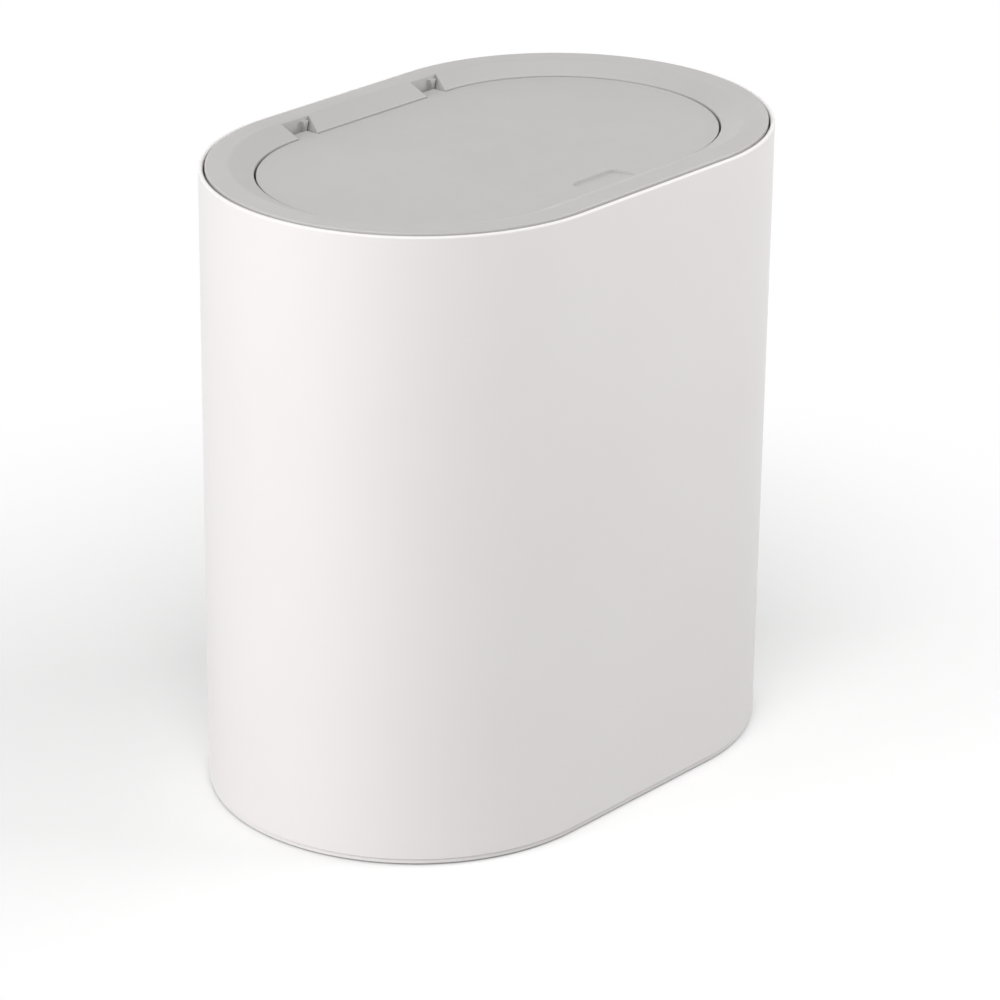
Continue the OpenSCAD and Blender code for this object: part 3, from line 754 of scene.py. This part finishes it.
def makeGussets(s):
    half, low = s["gusset"]
    inner, outer, top = s["throatRadius"] + sunk, s["skirt"][1] - sunk, s["top"] - s["cover"]
    outline = [(inner, low), (outer, low), (outer, top), (s["dishRadius"], top),
               (inner, dishHeight(s, inner) - s["cover"])]
    plates = []
    for side in (-1, 1):
        for i in range(s["gussetsRoundEnd"]):
            angle = 180 * (i + 0.5) / s["gussetsRoundEnd"] - side * 90
            plate = tracePlate("gusset", outline, "Y", -half, half)
            plate.rotation_euler.z = math.radians(angle)
            plate.location.x = side * plan["halfStraight"] * mm
            settleOrigin(plate)
            plates.append(plate)
    across = [(-r, z) for r, z in outline]
    for x in (-0.5 * plan["halfStraight"], 0.5 * plan["halfStraight"]):
        plates.append(tracePlate("gusset", across, "X", x - half, x + half))
    plates.append(tracePlate("gusset", outline, "X", -half, half))
    return plates


def makePocketWalls(s):
    left, right, front, back, _ = hinge["pocket"]
    wall = hinge["pocketWall"]
    inner, low, top = front + sunk, s["ledge"][1] + hair, s["top"] - s["cover"]
    innerTop = (inner, dishHeight(s, inner) - s["cover"])
    outline = [(inner, low), (back + wall, low), (back + wall, top), (s["dishRadius"], top), innerTop]
    walls = tracePlate("pocketWalls", outline, "X", left - wall, right + hinge["sideStock"])
    pocketSide(walls, wall)
    low = s["gusset"][1]
    outline = [(inner, low), (back, low), (back, dishHeight(s, back) - s["cover"]), innerTop]
    boss = tracePlate("pinBoss", outline, "X", *hinge["boss"])
    return placeCopies(joinPieces([walls, boss]), hinge["places"])


def makeWebs(s):
    _, right, front, back, _ = hinge["pocket"]
    depth, width, height, slit, drop = hinge["web"]
    corner = right + math.tan(math.radians(hinge["flare"])) * (back - front - depth) - slit
    top = dishHeight(s, back - depth) - drop
    outline = [(corner - width, top), (corner - width * hinge["webPoint"], top - height), (corner, top)]
    web = tracePlate("cornerWeb", outline, "Y", back - depth, back + sunk)
    bevelEdges(web, hinge["webEdge"], lambda e: middleOf(e).y < (back - depth / 2) * mm)
    return placeCopies(web, hinge["places"])


def alongPin(name, radius, fromX, toX, steps=32, bevel=0.0):
    y, z = hinge["axis"]
    return addRod(name, (fromX, y, z), (toX, y, z), radius, steps, bevel)


def legSlot():
    # Sector of a ring about the pin, through the pocket's left wall
    inner, outer, start, end = hinge["legSlot"]
    y, z = hinge["axis"]
    steps = hinge["legSlotSteps"]
    outline = arcPoints(y, z, outer, start, end, steps) + arcPoints(y, z, inner, end, start, steps)
    left = hinge["pocket"][0]
    return tracePlate("legSlot", outline, "X", left - hinge["pocketWall"] - overcut, left + overcut)


def cutRooms(lid, s):
    # Hinge pockets, and the shelf's upper side
    left, right, front, back, floor = hinge["pocket"]
    pocket = addBlock("pocketRoom", (left, front - overcut, floor),
                      (right + hinge["sideStock"], back, s["top"] + 4 * overcut))
    pocketSide(pocket)
    shelfRoom = addBlock("shelfRoom", (-shelf["halfInside"], -s["throatRadius"] - hair, shelf["floor"]),
                         (shelf["halfInside"], shelf["back"] + overcut, s["ledge"][2] + overcut))
    cutWith(lid, joinPieces(placeCopies(pocket, hinge["places"]) + [shelfRoom]))


def cutHoles(lid):
    # Pin bores, the striker's window, screw holes, and then the recesses at the pins' ends
    pinBore = alongPin("pinBore", hinge["boreRadius"], hinge["boss"][0] - overcut,
                       hinge["pinEnds"][1] + hinge["endPlay"])
    holes = placeCopies(pinBore, hinge["places"])
    wide, deep = shelf["window"]
    y, low, high = shelf["middle"], shelf["low"] - 2 * overcut, shelf["floor"] + 2 * overcut
    holes.append(addBlock("strikerWindow", (-wide / 2, y - deep / 2, low), (wide / 2, y + deep / 2, high)))
    for side in (-1, 1):
        x = side * shelf["screwPlace"]
        holes.append(addRod("screwHole", (x, y, low), (x, y, shelf["floor"] - shelf["screwCover"]),
                            shelf["screwRadius"]))
    cutWith(lid, joinPieces(holes))
    radius, reach = hinge["recess"]
    recess = alongPin("pinRecess", radius, 0, reach)
    cutWith(lid, joinPieces(placeCopies(joinPieces([recess, legSlot()]), hinge["places"])))


def roundLidEdges(lid, s):
    # Upper edges of the pockets and of the shelf's room
    left, right, front, back, _ = hinge["pocket"]
    toRight, toBelow = hinge["edgeReach"]
    aboveShelf = shelf["floor"] + shelf["edgesAbove"]

    def onPocketRim(edge):
        for v in edge.verts:
            x = min((v.co.x / mm - place for place, _, _ in hinge["places"]), key=abs)
            if not (left - near < x < right + toRight and front - near < v.co.y / mm < back + near):
                return False
        return middleOf(edge).z / mm > s["throatTop"] - toBelow

    def onShelfRim(edge):
        return middleOf(edge).z / mm > aboveShelf and all(
            abs(abs(v.co.x / mm) - shelf["halfInside"]) < near and v.co.y / mm < shelf["back"] + near
            for v in edge.verts)

    bevelEdges(lid, hinge["edge"], onPocketRim)
    bevelEdges(lid, shelf["edge"], onShelfRim, segments=2)


def makeLidFrame(s):
    lid = sweepStadium("lidFrameShell", frameSection(s), closed=True)
    shelfBlock = addBlock("latchShelf", (-shelf["half"], shelf["front"], shelf["low"]),
                          (shelf["half"], shelf["back"], s["ledge"][2] - hair))
    cutWith(lid, joinPieces(makeGussets(s) + makePocketWalls(s) + [shelfBlock]), "UNION")
    cutRooms(lid, s)
    cutHoles(lid)
    cutWith(lid, joinPieces(makeWebs(s)), "UNION")
    cleanMesh(lid)
    roundLidEdges(lid, s)
    cleanMesh(lid)
    smoothPiece(lid)
    finish(lid, "lid", "lid_frame", lidPlastic)


makeLidFrame(lidShape)
print("lid frame made")


# Flap

flapShape = {
    "radius": 60.8,
    "top": 250.6,
    "under": 248.4,
    "edge": 0.45,
    "wall": (54.5, 56.0, 240.0),      # inner and outer radius, low
    "wallEdge": 0.3,
    "wallFillet": 0.4,
    "wallGap": 18.8,
    "skinReach": 5.0,                 # how far the rim's top and underside reach inwards
    "ribHalf": 0.6,
    "ribLow": 245.0,
    "ribLines": 22.1,
    "ribSetBack": 8.0,                # the middle rib starts behind the striker
    "ribReach": 0.9,                  # share of the end's radius that the long ribs cover
    "ribRaise": 0.05,                 # keeps the long ribs out of the cross ribs' planes
    "bossRadius": 2.7,
    "bossEdge": 0.2,
    "bossLow": 245.2,
    "bossPlace": 8.0,
    "screwCover": 1.5,
    "pressHalf": 13.0,
    "pressBack": -50.0,
    "pressRound": 3.5,
    "pressSteps": 10,
    "pressDepth": (1.0, 0.2),         # at its back, and at the flap's edge
    "pressEdge": 0.3,
}


def makeTongues(s):
    y, z = hinge["axis"]
    left, right, front = hinge["tongue"]
    outline = [(front, s["top"])] + arcPoints(y, z, *hinge["knuckle"]) + [(front, s["under"])]
    tongue = tracePlate("hingeTongue", outline, "X", left, right)
    bevelEdges(tongue, hinge["tongueEdge"], lambda e: abs(e.verts[0].co.x - e.verts[1].co.x) < tiny and
               middleOf(e).y > (front + near) * mm, segments=2)
    heelLeft, heelRight, heelFront, heelBack, heelLow = hinge["heel"]
    heel = addBlock("springHeel", (heelLeft + hair, heelFront, heelLow),
                    (heelRight, heelBack, s["under"] + sunk), hinge["heelEdge"])
    cutWith(tongue, heel, "UNION")
    cutWith(tongue, alongPin("pinBore", hinge["boreRadius"], left - overcut, right + overcut))
    return placeCopies(tongue, hinge["places"])


def makeRibs(s):
    end = (s["wall"][0] + s["wall"][1]) / 2
    half, low, high, raised = s["ribHalf"], s["ribLow"], s["under"] + sunk, s["ribRaise"]
    across, along = [], []
    for x in (-plan["halfStraight"], 0, plan["halfStraight"]):
        start = shelf["middle"] + s["ribSetBack"] if x == 0 else -end
        across.append(addBlock("crossRib", (x - half, start, low), (x + half, end, high)))
    for x in (-s["bossPlace"], s["bossPlace"]):
        across.append(addRod("strikerBoss", (x, shelf["middle"], s["bossLow"]), (x, shelf["middle"], high),
                             s["bossRadius"], bevel=s["bossEdge"]))
    reach = plan["halfStraight"] + end * s["ribReach"]
    for y in (-s["ribLines"], s["ribLines"]):
        along.append(addBlock("longRib", (-reach, y - half, low + raised), (reach, y + half, high + raised)))
    return joinPieces(across), joinPieces(along)


def pressHollow(s):
    # Room of the press spot: deep at its back edge and nearly flush at the flap's edge
    half = s["pressHalf"]
    front = -s["radius"] - overcut
    deep, shallow = s["pressDepth"]
    hollow = addBlock("pressRoom", (-half, front, s["top"] - 2 * deep),
                      (half, s["pressBack"], s["top"] + 2 * overcut))
    startEditing(hollow)
    pickParts(hollow, "EDGE", lambda e: abs(e.verts[0].co.z - e.verts[1].co.z) > tiny and
              middleOf(e).y > shelf["middle"] * mm)
    bpy.ops.mesh.bevel(offset=s["pressRound"] * mm, segments=s["pressSteps"], affect="EDGES")
    stopEditing()
    low = Vector((0, s["pressBack"], s["top"] - deep))
    high = Vector((0, front, s["top"] - shallow))
    along = (high - low).normalized()
    sliceOff(hollow, low * mm, Vector((0, -along.z, along.y)))
    return hollow


def makeFlap(s):
    wallIn, wallOut, wallLow = s["wall"]
    rim = roundCorners([
        (wallIn - s["skinReach"], s["under"], 0),
        (wallIn, s["under"], s["wallFillet"]),
        (wallIn, wallLow, s["wallEdge"]),
        (wallOut, wallLow, s["wallEdge"]),
        (wallOut, s["under"], s["wallFillet"]),
        (s["radius"], s["under"], s["wallEdge"]),
        (s["radius"], s["top"], s["edge"]),
        (s["radius"] - s["skinReach"], s["top"], 0),
    ])
    flap = sweepStadium("flapShell", rim)
    for ribs in makeRibs(s):
        cutWith(flap, ribs, "UNION")
    cutWith(flap, joinPieces(makeTongues(s)), "UNION")
    gap = addBlock("shelfGap", (-s["wallGap"], -wallOut - overcut, wallLow - 2 * overcut),
                   (s["wallGap"], -wallIn + overcut, s["under"] - hair))
    cutWith(flap, gap)
    for x in (-s["bossPlace"], s["bossPlace"]):
        cutWith(flap, addRod("screwHole", (x, shelf["middle"], s["bossLow"] - 2 * overcut),
                             (x, shelf["middle"], s["top"] - s["screwCover"]), shelf["screwRadius"]))
    cutWith(flap, pressHollow(s))
    cleanMesh(flap)

    def onPressRim(edge):
        return all(abs(v.co.x / mm) < s["pressHalf"] + near and v.co.y / mm < s["pressBack"] + near and
                   v.co.z / mm > s["top"] - hair for v in edge.verts)

    bevelEdges(flap, s["pressEdge"], onPressRim)
    cleanMesh(flap)
    smoothPiece(flap)
    finish(flap, "flap", "lid_flap", lidPlastic)


makeFlap(flapShape)
print("flap made")


# Foot pads

padShape = {
    "radius": 6.0,
    "height": 2.6,
    "edge": 0.4,
    "hollowIn": 1.3,
    "hollowDepth": 0.2,
    "hollowDraft": 0.96,      # size of the hollow's ceiling against its mouth
}


def makePads(s):
    for node, place in padPlaces.items():
        pad = addRod("footPad", (0, 0, 0), (0, 0, s["height"]), s["radius"], fineSteps)
        bevelEdges(pad, s["edge"], lambda e: middleOf(e).z < tiny)
        startEditing(pad)
        pickParts(pad, "FACE", lambda f: f.normal.z < -level and len(f.verts) > 4)
        bpy.ops.mesh.inset(thickness=s["hollowIn"] * mm)
        bpy.ops.mesh.extrude_region_move(TRANSFORM_OT_translate={"value": at(0, 0, s["hollowDepth"])})
        bpy.ops.transform.resize(value=(s["hollowDraft"], s["hollowDraft"], 1), center_override=(0, 0, 0))
        stopEditing()
        pad.location = at(*place)
        settleOrigin(pad)
        smoothPiece(pad)
        finish(pad, "barrel", node, padRubber)


makePads(padShape)
print("pads made")


# Hinge pins and torsion springs

springShape = {
    "wire": 0.7,
    "radius": 1.75,
    "turns": 3.25,
    "pitch": 1.3,
    "start": -12.75,
    "legTop": 2.81,
    "legLow": (-2.3, -2.2),                   # Y and Z of the low leg, from the pin's
    "legCurve": ((1.7, 0.32), (1.1, 0.05)),   # Y and Z of the points that lead to it, from its own
    "legReach": 7.6,
    "wireBend": 0.8,
    "pointsPerTurn": 28,
}
quarterTurn = [math.radians(15 * k) for k in range(7)]


def makePin(node, place):
    left, right = hinge["pinEnds"]
    pin = alongPin("hingePin", hinge["pinRadius"], left + hinge["headDepth"] / 2, right,
                   bevel=hinge["pinEdge"])
    head = alongPin("pinHead", hinge["headRadius"], left, left + hinge["headDepth"], headSteps)
    bevelEdges(head, hinge["headRound"], lambda e: middleOf(e).x < (left + near) * mm, segments=4)
    cutWith(pin, head, "UNION")
    pin.location = at(*place)
    settleOrigin(pin)
    cleanMesh(pin)
    smoothPiece(pin)
    finish(pin, "lid", node, drawnSteel)


def springPath(s):
    # Leg up to the dish, the coil, and a leg that turns out along X under the tongue's heel
    y0, z0 = hinge["axis"]
    start, r = s["start"], s["radius"]
    end = start + s["turns"] * s["pitch"]
    path = [(start, r, s["legTop"] * k / 3) for k in (3, 2, 1)]
    steps = round(s["turns"] * s["pointsPerTurn"])
    for i in range(steps + 1):
        angle = -2 * math.pi * i / s["pointsPerTurn"]
        path.append((start + s["pitch"] * i / s["pointsPerTurn"], r * math.cos(angle), r * math.sin(angle)))
    legY, legZ = s["legLow"]
    bend = s["wireBend"]
    path += [(end + hair, legY + y, legZ + z) for y, z in s["legCurve"]]
    path += [(end + bend - bend * math.cos(a), legY + bend - bend * math.sin(a), legZ) for a in quarterTurn]
    path += [(end + s["legReach"] / 2, legY, legZ), (end + s["legReach"], legY, legZ)]
    return [(x, y + y0, z + z0) for x, y, z in path]


def makeTorsionSpring(node, place):
    spring = traceWire("torsionSpring", springPath(springShape), springShape["wire"] / 2)
    spring.location = at(*place)
    settleOrigin(spring)
    smoothPiece(spring, wireAngle)
    dress(spring, node, drawnSteel)
    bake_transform(spring)     # gains turns as the flap opens


for side, place in zip(("left", "right"), hinge["places"]):
    makePin("hinge_pin_" + side, place)
    makeTorsionSpring("torsion_spring_" + side, place)
print("pins and torsion springs made")


# Push latch

latch = {
    "middle": shelf["middle"],
    "housing": (9.0, 5.6, 216.4, 237.0),              # half width, half depth, low, high
    "housingEdge": 0.5,
    "ears": (17.0, 3.4, 235.0, 1.6, 0.2),             # half width, half depth, low, corners, edge
    "guide": (6.1, 3.6, 217.8, 0.3),                  # half width, half depth, low, edge
    "mouth": (7.8, 231.0),                            # half width, low
    "track": (1.6, 218.4, 226.6, -50.1),              # half width, low, high, back
    "screwPlace": shelf["screwPlace"],
    "screwHole": 1.25,
    "slider": (6.0, 3.5, 220.4, 227.4),               # half width, half depth, low, high
    "sliderEdge": 0.25,
    "claw": (3.8, 5.6, 0.9, 235.5, 236.7, 3.0),       # inside, outside, lip, lip's height, tip, half depth
    "clawRoot": 0.5,
    "clawChamfer": 0.4,
    "clawEdge": 0.12,
    "sliderBore": (2.3, 226.0),                       # radius, high
    "groove": (1.4, 1.0, 221.3),                      # half width, depth, low
    "spring": (1.75, 0.5, 5, 218.15, 225.65),         # radius, wire, turns, low, high
    "camPin": (1.0, -50.6, 218.8, 225.4, -52.3),      # wire, place, low, high, tip
    "screwShank": 1.05,
    "screwHead": 2.1,
    "roundScrew": (1.4, 5.0, 0.5),                    # head's depth, length, head's edge
    "sunkScrew": (0.8, 5.4, 0.15),
    "thread": (0.5, 0.84, 0.8),                       # pitch, and the root and the tip as shares
    "cross": (1.1, 0.25, 0.55),                       # half length, half width, share of the head's depth
    "striker": (flapShape["bossPlace"], 4.0, 243.6, flapShape["bossLow"]),
    "strikerEdge": 0.2,
    "strikerFlat": 0.1,                               # half the straight bit left at each round end
    "strikerHole": (1.2, 2.2),                        # shank's radius, head's radius
    "stem": (1.4, 2.2, 0.15),                         # half width, half depth, edge
    "head": (2.6, 233.2, 235.2),                      # half width, low, high
}


def upright(edge):
    return abs(edge.verts[0].co.z - edge.verts[1].co.z) > tiny


def lying(edge):
    return not upright(edge)


def makeHousing(s):
    y = s["middle"]
    halfW, halfD, low, high = s["housing"]
    housing = addBlock("latchHousing", (-halfW, y - halfD, low), (halfW, y + halfD, high),
                       s["housingEdge"], segments=3)
    earHalf, earDeep, earLow, corner, edge = s["ears"]
    ears = addBlock("screwEars", (-earHalf, y - earDeep, earLow), (earHalf, y + earDeep, high - hair / 2))
    bevelEdges(ears, corner, upright, segments=6)
    bevelEdges(ears, edge, lambda e: middleOf(e).z < (earLow + near) * mm, segments=2)
    cutWith(housing, ears, "UNION")
    guideW, guideD, bore, edge = s["guide"]
    cutWith(housing, addBlock("guide", (-guideW, y - guideD, bore),
                              (guideW, y + guideD, high + overcut), edge))
    mouthW, mouthLow = s["mouth"]
    mouthD = guideD - hair / 2
    cutWith(housing, addBlock("mouth", (-mouthW, y - mouthD, mouthLow),
                              (mouthW, y + mouthD, high + 2 * overcut)))
    trackW, trackLow, trackHigh, trackBack = s["track"]
    cutWith(housing, addBlock("track", (-trackW, y, trackLow), (trackW, trackBack, trackHigh)))
    for side in (-1, 1):
        x = side * s["screwPlace"]
        cutWith(housing, addRod("screwHole", (x, y, earLow - 2 * overcut), (x, y, high + 2 * overcut),
                                s["screwHole"]))
    cleanMesh(housing)
    smoothPiece(housing)
    finish(housing, "lid", "latch_housing", latchPlastic)


def makeSlider(s):
    y = s["middle"]
    halfW, halfD, low, high = s["slider"]
    slider = addBlock("latchSlider", (-halfW, y - halfD, low), (halfW, y + halfD, high), s["sliderEdge"])
    inside, outside, lip, lipHeight, tip, deep = s["claw"]
    root, cut = s["clawRoot"], s["clawChamfer"]
    outline = [(inside, high - root), (inside, lipHeight), (inside - lip, lipHeight),
               (inside - lip, lipHeight + cut), (inside, tip), (outside - cut, tip), (outside, tip - cut),
               (outside, high - root)]
    for side in (-1, 1):
        claw = tracePlate("claw", [(side * x, z) for x, z in outline], "Y", y - deep, y + deep)
        bevelEdges(claw, s["clawEdge"], lambda e: middleOf(e).z > (high + root) * mm, segments=2)
        cutWith(slider, claw, "UNION")
    radius, top = s["sliderBore"]
    cutWith(slider, addRod("springBore", (0, y, low - overcut), (0, y, top), radius, headSteps))
    grooveW, grooveD, grooveLow = s["groove"]
    cutWith(slider, addBlock("camGroove", (-grooveW, y + halfD - grooveD, grooveLow),
                             (grooveW, y + halfD + overcut, high + overcut)))
    cleanMesh(slider)
    smoothPiece(slider)
    finish(slider, "slider", "latch_slider", latchPlastic)


def makeLatchSpring(s):
    y = s["middle"]
    radius, wire, turns, low, high = s["spring"]
    perTurn = springShape["pointsPerTurn"]
    steps = turns * perTurn
    path = [(radius * math.cos(2 * math.pi * i / perTurn), y + radius * math.sin(2 * math.pi * i / perTurn),
             low + (high - low) * i / steps) for i in range(steps + 1)]
    spring = traceWire("latchSpring", path, wire / 2)
    smoothPiece(spring, wireAngle)
    dress(spring, "latch_spring", drawnSteel)
    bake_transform(spring)   # grows and shrinks


def makeCamPin(s):
    thick, y, low, high, tip = s["camPin"]
    bend = springShape["wireBend"]
    path = [(0, y, low), (0, y, (low + high) / 2), (0, y, high - bend)]
    path += [(0, y - bend + bend * math.cos(a), high - bend + bend * math.sin(a)) for a in quarterTurn[1:]]
    camPin = traceWire("camPin", path + [(0, tip, high)], thick / 2)
    smoothPiece(camPin, wireAngle)
    finish(camPin, "lid", "latch_cam_pin", drawnSteel)


def cutCross(screw, place, low, headDepth):
    x, y = place
    long, short, share = latch["cross"]
    for halfX, halfY in ((long, short), (short, long)):
        cutWith(screw, addBlock("crossRecess", (x - halfX, y - halfY, low - overcut),
                                (x + halfX, y + halfY, low + headDepth * share)))


def makeScrew(node, body, place, low, size, threaded):
    # Head at the bottom, with a shank whose thread runs to its tip
    x, y = place
    depth, _, edge = size
    radius, shank = latch["screwHead"], latch["screwShank"]
    screw = addRod("screwHead", (x, y, low), (x, y, low + depth), radius, headSteps)
    bevelEdges(screw, edge, lambda e: middleOf(e).z < low * mm + tiny, segments=4)
    startEditing(screw)
    pickParts(screw, "FACE", lambda f: f.normal.z > level and len(f.verts) > 4)
    bpy.ops.mesh.inset(thickness=(radius - shank) * mm)
    pitch, root, tip = latch["thread"]
    turns = round(threaded / pitch)
    rise = threaded / turns / 2
    for factor in ([root, 1 / root] * turns)[:-1] + [tip]:
        bpy.ops.mesh.extrude_region_move(TRANSFORM_OT_translate={"value": at(0, 0, rise)})
        bpy.ops.transform.resize(value=(factor, factor, 1), center_override=at(x, y, 0))
    stopEditing()
    cutCross(screw, place, low, depth)
    cleanMesh(screw)
    smoothPiece(screw)
    finish(screw, body, node, zincPlate)


def makeStriker(s):
    y = s["middle"]
    half, deep, low, high = s["striker"]
    corners = [(x, y + way * deep, deep - s["strikerFlat"]) for x, way in (
        (-half - deep, -1), (half + deep, -1), (half + deep, 1), (-half - deep, 1))]
    striker = tracePlate("latchStriker", roundCorners(corners), "Z", low, high)
    bevelEdges(striker, s["strikerEdge"], lying, segments=2)
    stemHalf, stemDeep, edge = s["stem"]
    headHalf, headLow, headHigh = s["head"]
    third, top = (headHigh - headLow) / 3, low + sunk
    outline = [(-stemHalf, top), (-stemHalf, headHigh), (-headHalf, headHigh), (-headHalf, headHigh - third),
               (-headHalf / 2, headLow), (headHalf / 2, headLow), (headHalf, headHigh - third),
               (headHalf, headHigh), (stemHalf, headHigh), (stemHalf, top)]
    stem = tracePlate("strikerStem", outline, "Y", y - stemDeep, y + stemDeep)
    bevelEdges(stem, edge, lambda e: middleOf(e).z < (low - 2 * near) * mm, segments=2)
    cutWith(striker, stem, "UNION")
    hole, sink = s["strikerHole"]
    for x in (-half, half):
        cutWith(striker, addRod("screwHole", (x, y, low - overcut), (x, y, high + overcut), hole))
        cutWith(striker, addRod("screwSink", (x, y, low - overcut), (x, y, low + s["sunkScrew"][0]), sink,
                                headSteps))
    cleanMesh(striker)
    smoothPiece(striker)
    finish(striker, "flap", "latch_striker", latchPlastic)


def makeScrews(s):
    # Round heads stand under the housing's ears, and sunk heads lie flush in the striker
    roundDepth, roundLength, _ = s["roundScrew"]
    sunkDepth, sunkLength, _ = s["sunkScrew"]
    strikerPlace, _, strikerLow, _ = s["striker"]
    for side, way in (("left", -1), ("right", 1)):
        makeScrew("latch_screw_" + side, "lid", (way * s["screwPlace"], s["middle"]),
                  s["ears"][2] - roundDepth, s["roundScrew"], roundLength)
        makeScrew("striker_screw_" + side, "flap", (way * strikerPlace, s["middle"]),
                  strikerLow, s["sunkScrew"], sunkLength - sunkDepth)


makeHousing(latch)
makeSlider(latch)
makeLatchSpring(latch)
makeCamPin(latch)
makeStriker(latch)
makeScrews(latch)
print("latch made")


# Camera, lights and room

cameraShot = {
    "azimuth": -49.113,
    "elevation": 22.75,
    "roll": 0.671,
    "distance": 1730.6,
    "side": 4.56,
    "rise": -21.57,
    "aimHeight": plan["height"] / 2,
    "lens": 157.9,
    "sensor": 36,
    "sees": 50,                # metres
}
lightSetup = {
    # name: (azimuth, elevation, distance in metres, size, power)
    "key": (-120, 15, 2.0, 1.5, 18.0),
    "front": (-60, 38, 2.0, 1.5, 20.0),
    "fill": (45, 35, 0.9, 0.6, 3.4),
    "rear": (150, 6, 2.0, 1.2, 4.0),
}
roomShades = {
    "ambient": 0.36,
    "floorSeen": (1, 1, 1, 1),
    "floorBounce": (0.4, 0.4, 0.4, 1),
    "floorRoughness": 0.9,
    "floorSize": 12.0,         # metres
    "fade": (0.14, 0.42),      # metres between which the floor runs out into the white backdrop
}


def directionOf(azimuth, elevation):
    azimuth, elevation = math.radians(azimuth), math.radians(elevation)
    return Vector((math.sin(azimuth) * math.cos(elevation),
                   -math.cos(azimuth) * math.cos(elevation), math.sin(elevation)))


def placeCamera(shot):
    back = directionOf(shot["azimuth"], shot["elevation"])
    right = Vector((-back.y, back.x, 0)).normalized()
    up = back.cross(right)
    roll = math.radians(shot["roll"])
    turnedRight = math.cos(roll) * right + math.sin(roll) * up
    turnedUp = math.cos(roll) * up - math.sin(roll) * right
    place = (at(0, 0, shot["aimHeight"]) + back * shot["distance"] * mm
             + turnedRight * shot["side"] * mm + turnedUp * shot["rise"] * mm)
    data = bpy.data.cameras.new("photoView")
    data.lens = shot["lens"]
    data.sensor_width = shot["sensor"]
    data.clip_end = shot["sees"]
    camera = bpy.data.objects.new("photoView", data)
    bpy.context.scene.collection.objects.link(camera)
    turn = Matrix((turnedRight, turnedUp, back)).transposed().to_4x4()
    camera.matrix_world = Matrix.Translation(place) @ turn
    bpy.context.scene.camera = camera


def placeLights(setup):
    for name, (azimuth, elevation, distance, size, power) in setup.items():
        data = bpy.data.lights.new(name, "AREA")
        data.shape = "SQUARE"
        data.size = size
        data.energy = power
        lamp = bpy.data.objects.new(name, data)
        bpy.context.scene.collection.objects.link(lamp)
        towards = directionOf(azimuth, elevation)
        lamp.location = at(0, 0, cameraShot["aimHeight"]) + towards * distance
        lamp.rotation_euler = towards.to_track_quat("Z", "Y").to_euler()


def raysThatSee(tree):
    # 1 for camera, glossy and transmission rays, and 0 for the light that bounces about
    rays = tree.nodes.new("ShaderNodeLightPath")
    total = rays.outputs["Is Camera Ray"]
    for name in ("Is Glossy Ray", "Is Transmission Ray"):
        add = tree.nodes.new("ShaderNodeMath")
        add.operation = "MAXIMUM"
        tree.links.new(total, add.inputs[0])
        tree.links.new(rays.outputs[name], add.inputs[1])
        total = add.outputs[0]
    return total


def makeFloor(shades):
    bpy.ops.object.select_all(action="DESELECT")
    bpy.ops.mesh.primitive_plane_add(size=shades["floorSize"], location=(0, 0, 0))
    floor = bpy.context.active_object
    floor.name = "floor"
    material, shader = newMaterial("pale floor")
    shader.inputs["Roughness"].default_value = shades["floorRoughness"]
    shader.inputs["Specular IOR Level"].default_value = 0.0
    tree = material.node_tree
    seen = raysThatSee(tree)
    link(material, blendColours(material, seen, shades["floorBounce"], shades["floorSeen"]),
         shader.inputs["Base Color"])
    place = addNode(material, "ShaderNodeTexCoord").outputs["Object"]
    distance = addNode(material, "ShaderNodeVectorMath", operation="LENGTH")
    link(material, place, distance.inputs[0])
    fade = addNode(material, "ShaderNodeMapRange", interpolation_type="SMOOTHSTEP")
    fade.inputs["From Min"].default_value = shades["fade"][0]
    fade.inputs["From Max"].default_value = shades["fade"][1]
    link(material, distance.outputs["Value"], fade.inputs["Value"])
    both = addNode(material, "ShaderNodeMath", operation="MULTIPLY")
    link(material, fade.outputs["Result"], both.inputs[0])
    link(material, seen, both.inputs[1])
    white = addNode(material, "ShaderNodeEmission", Strength=1.0)
    mix = addNode(material, "ShaderNodeMixShader")
    link(material, both.outputs[0], mix.inputs[0])
    link(material, shader.outputs["BSDF"], mix.inputs[1])
    link(material, white.outputs["Emission"], mix.inputs[2])
    output = next(node for node in tree.nodes if node.type == "OUTPUT_MATERIAL")
    link(material, mix.outputs["Shader"], output.inputs["Surface"])
    floor.data.materials.append(material)


def makeBackdrop(shades):
    world = bpy.data.worlds.new("softRoom")
    bpy.context.scene.world = world
    world.use_nodes = True
    tree = world.node_tree
    tree.nodes.clear()
    output = tree.nodes.new("ShaderNodeOutputWorld")
    backdrop = tree.nodes.new("ShaderNodeBackground")
    backdrop.inputs["Color"].default_value = (1, 1, 1, 1)
    backdrop.inputs["Strength"].default_value = 1.0
    ambient = tree.nodes.new("ShaderNodeBackground")
    ambient.inputs["Color"].default_value = (1, 1, 1, 1)
    ambient.inputs["Strength"].default_value = shades["ambient"]
    mix = tree.nodes.new("ShaderNodeMixShader")
    tree.links.new(raysThatSee(tree), mix.inputs[0])
    tree.links.new(ambient.outputs[0], mix.inputs[1])
    tree.links.new(backdrop.outputs[0], mix.inputs[2])
    tree.links.new(mix.outputs[0], output.inputs["Surface"])


placeCamera(cameraShot)
placeLights(lightSetup)
makeFloor(roomShades)
makeBackdrop(roomShades)
bpy.context.scene.view_settings.view_transform = "Standard"
print("camera, lights and room ready")
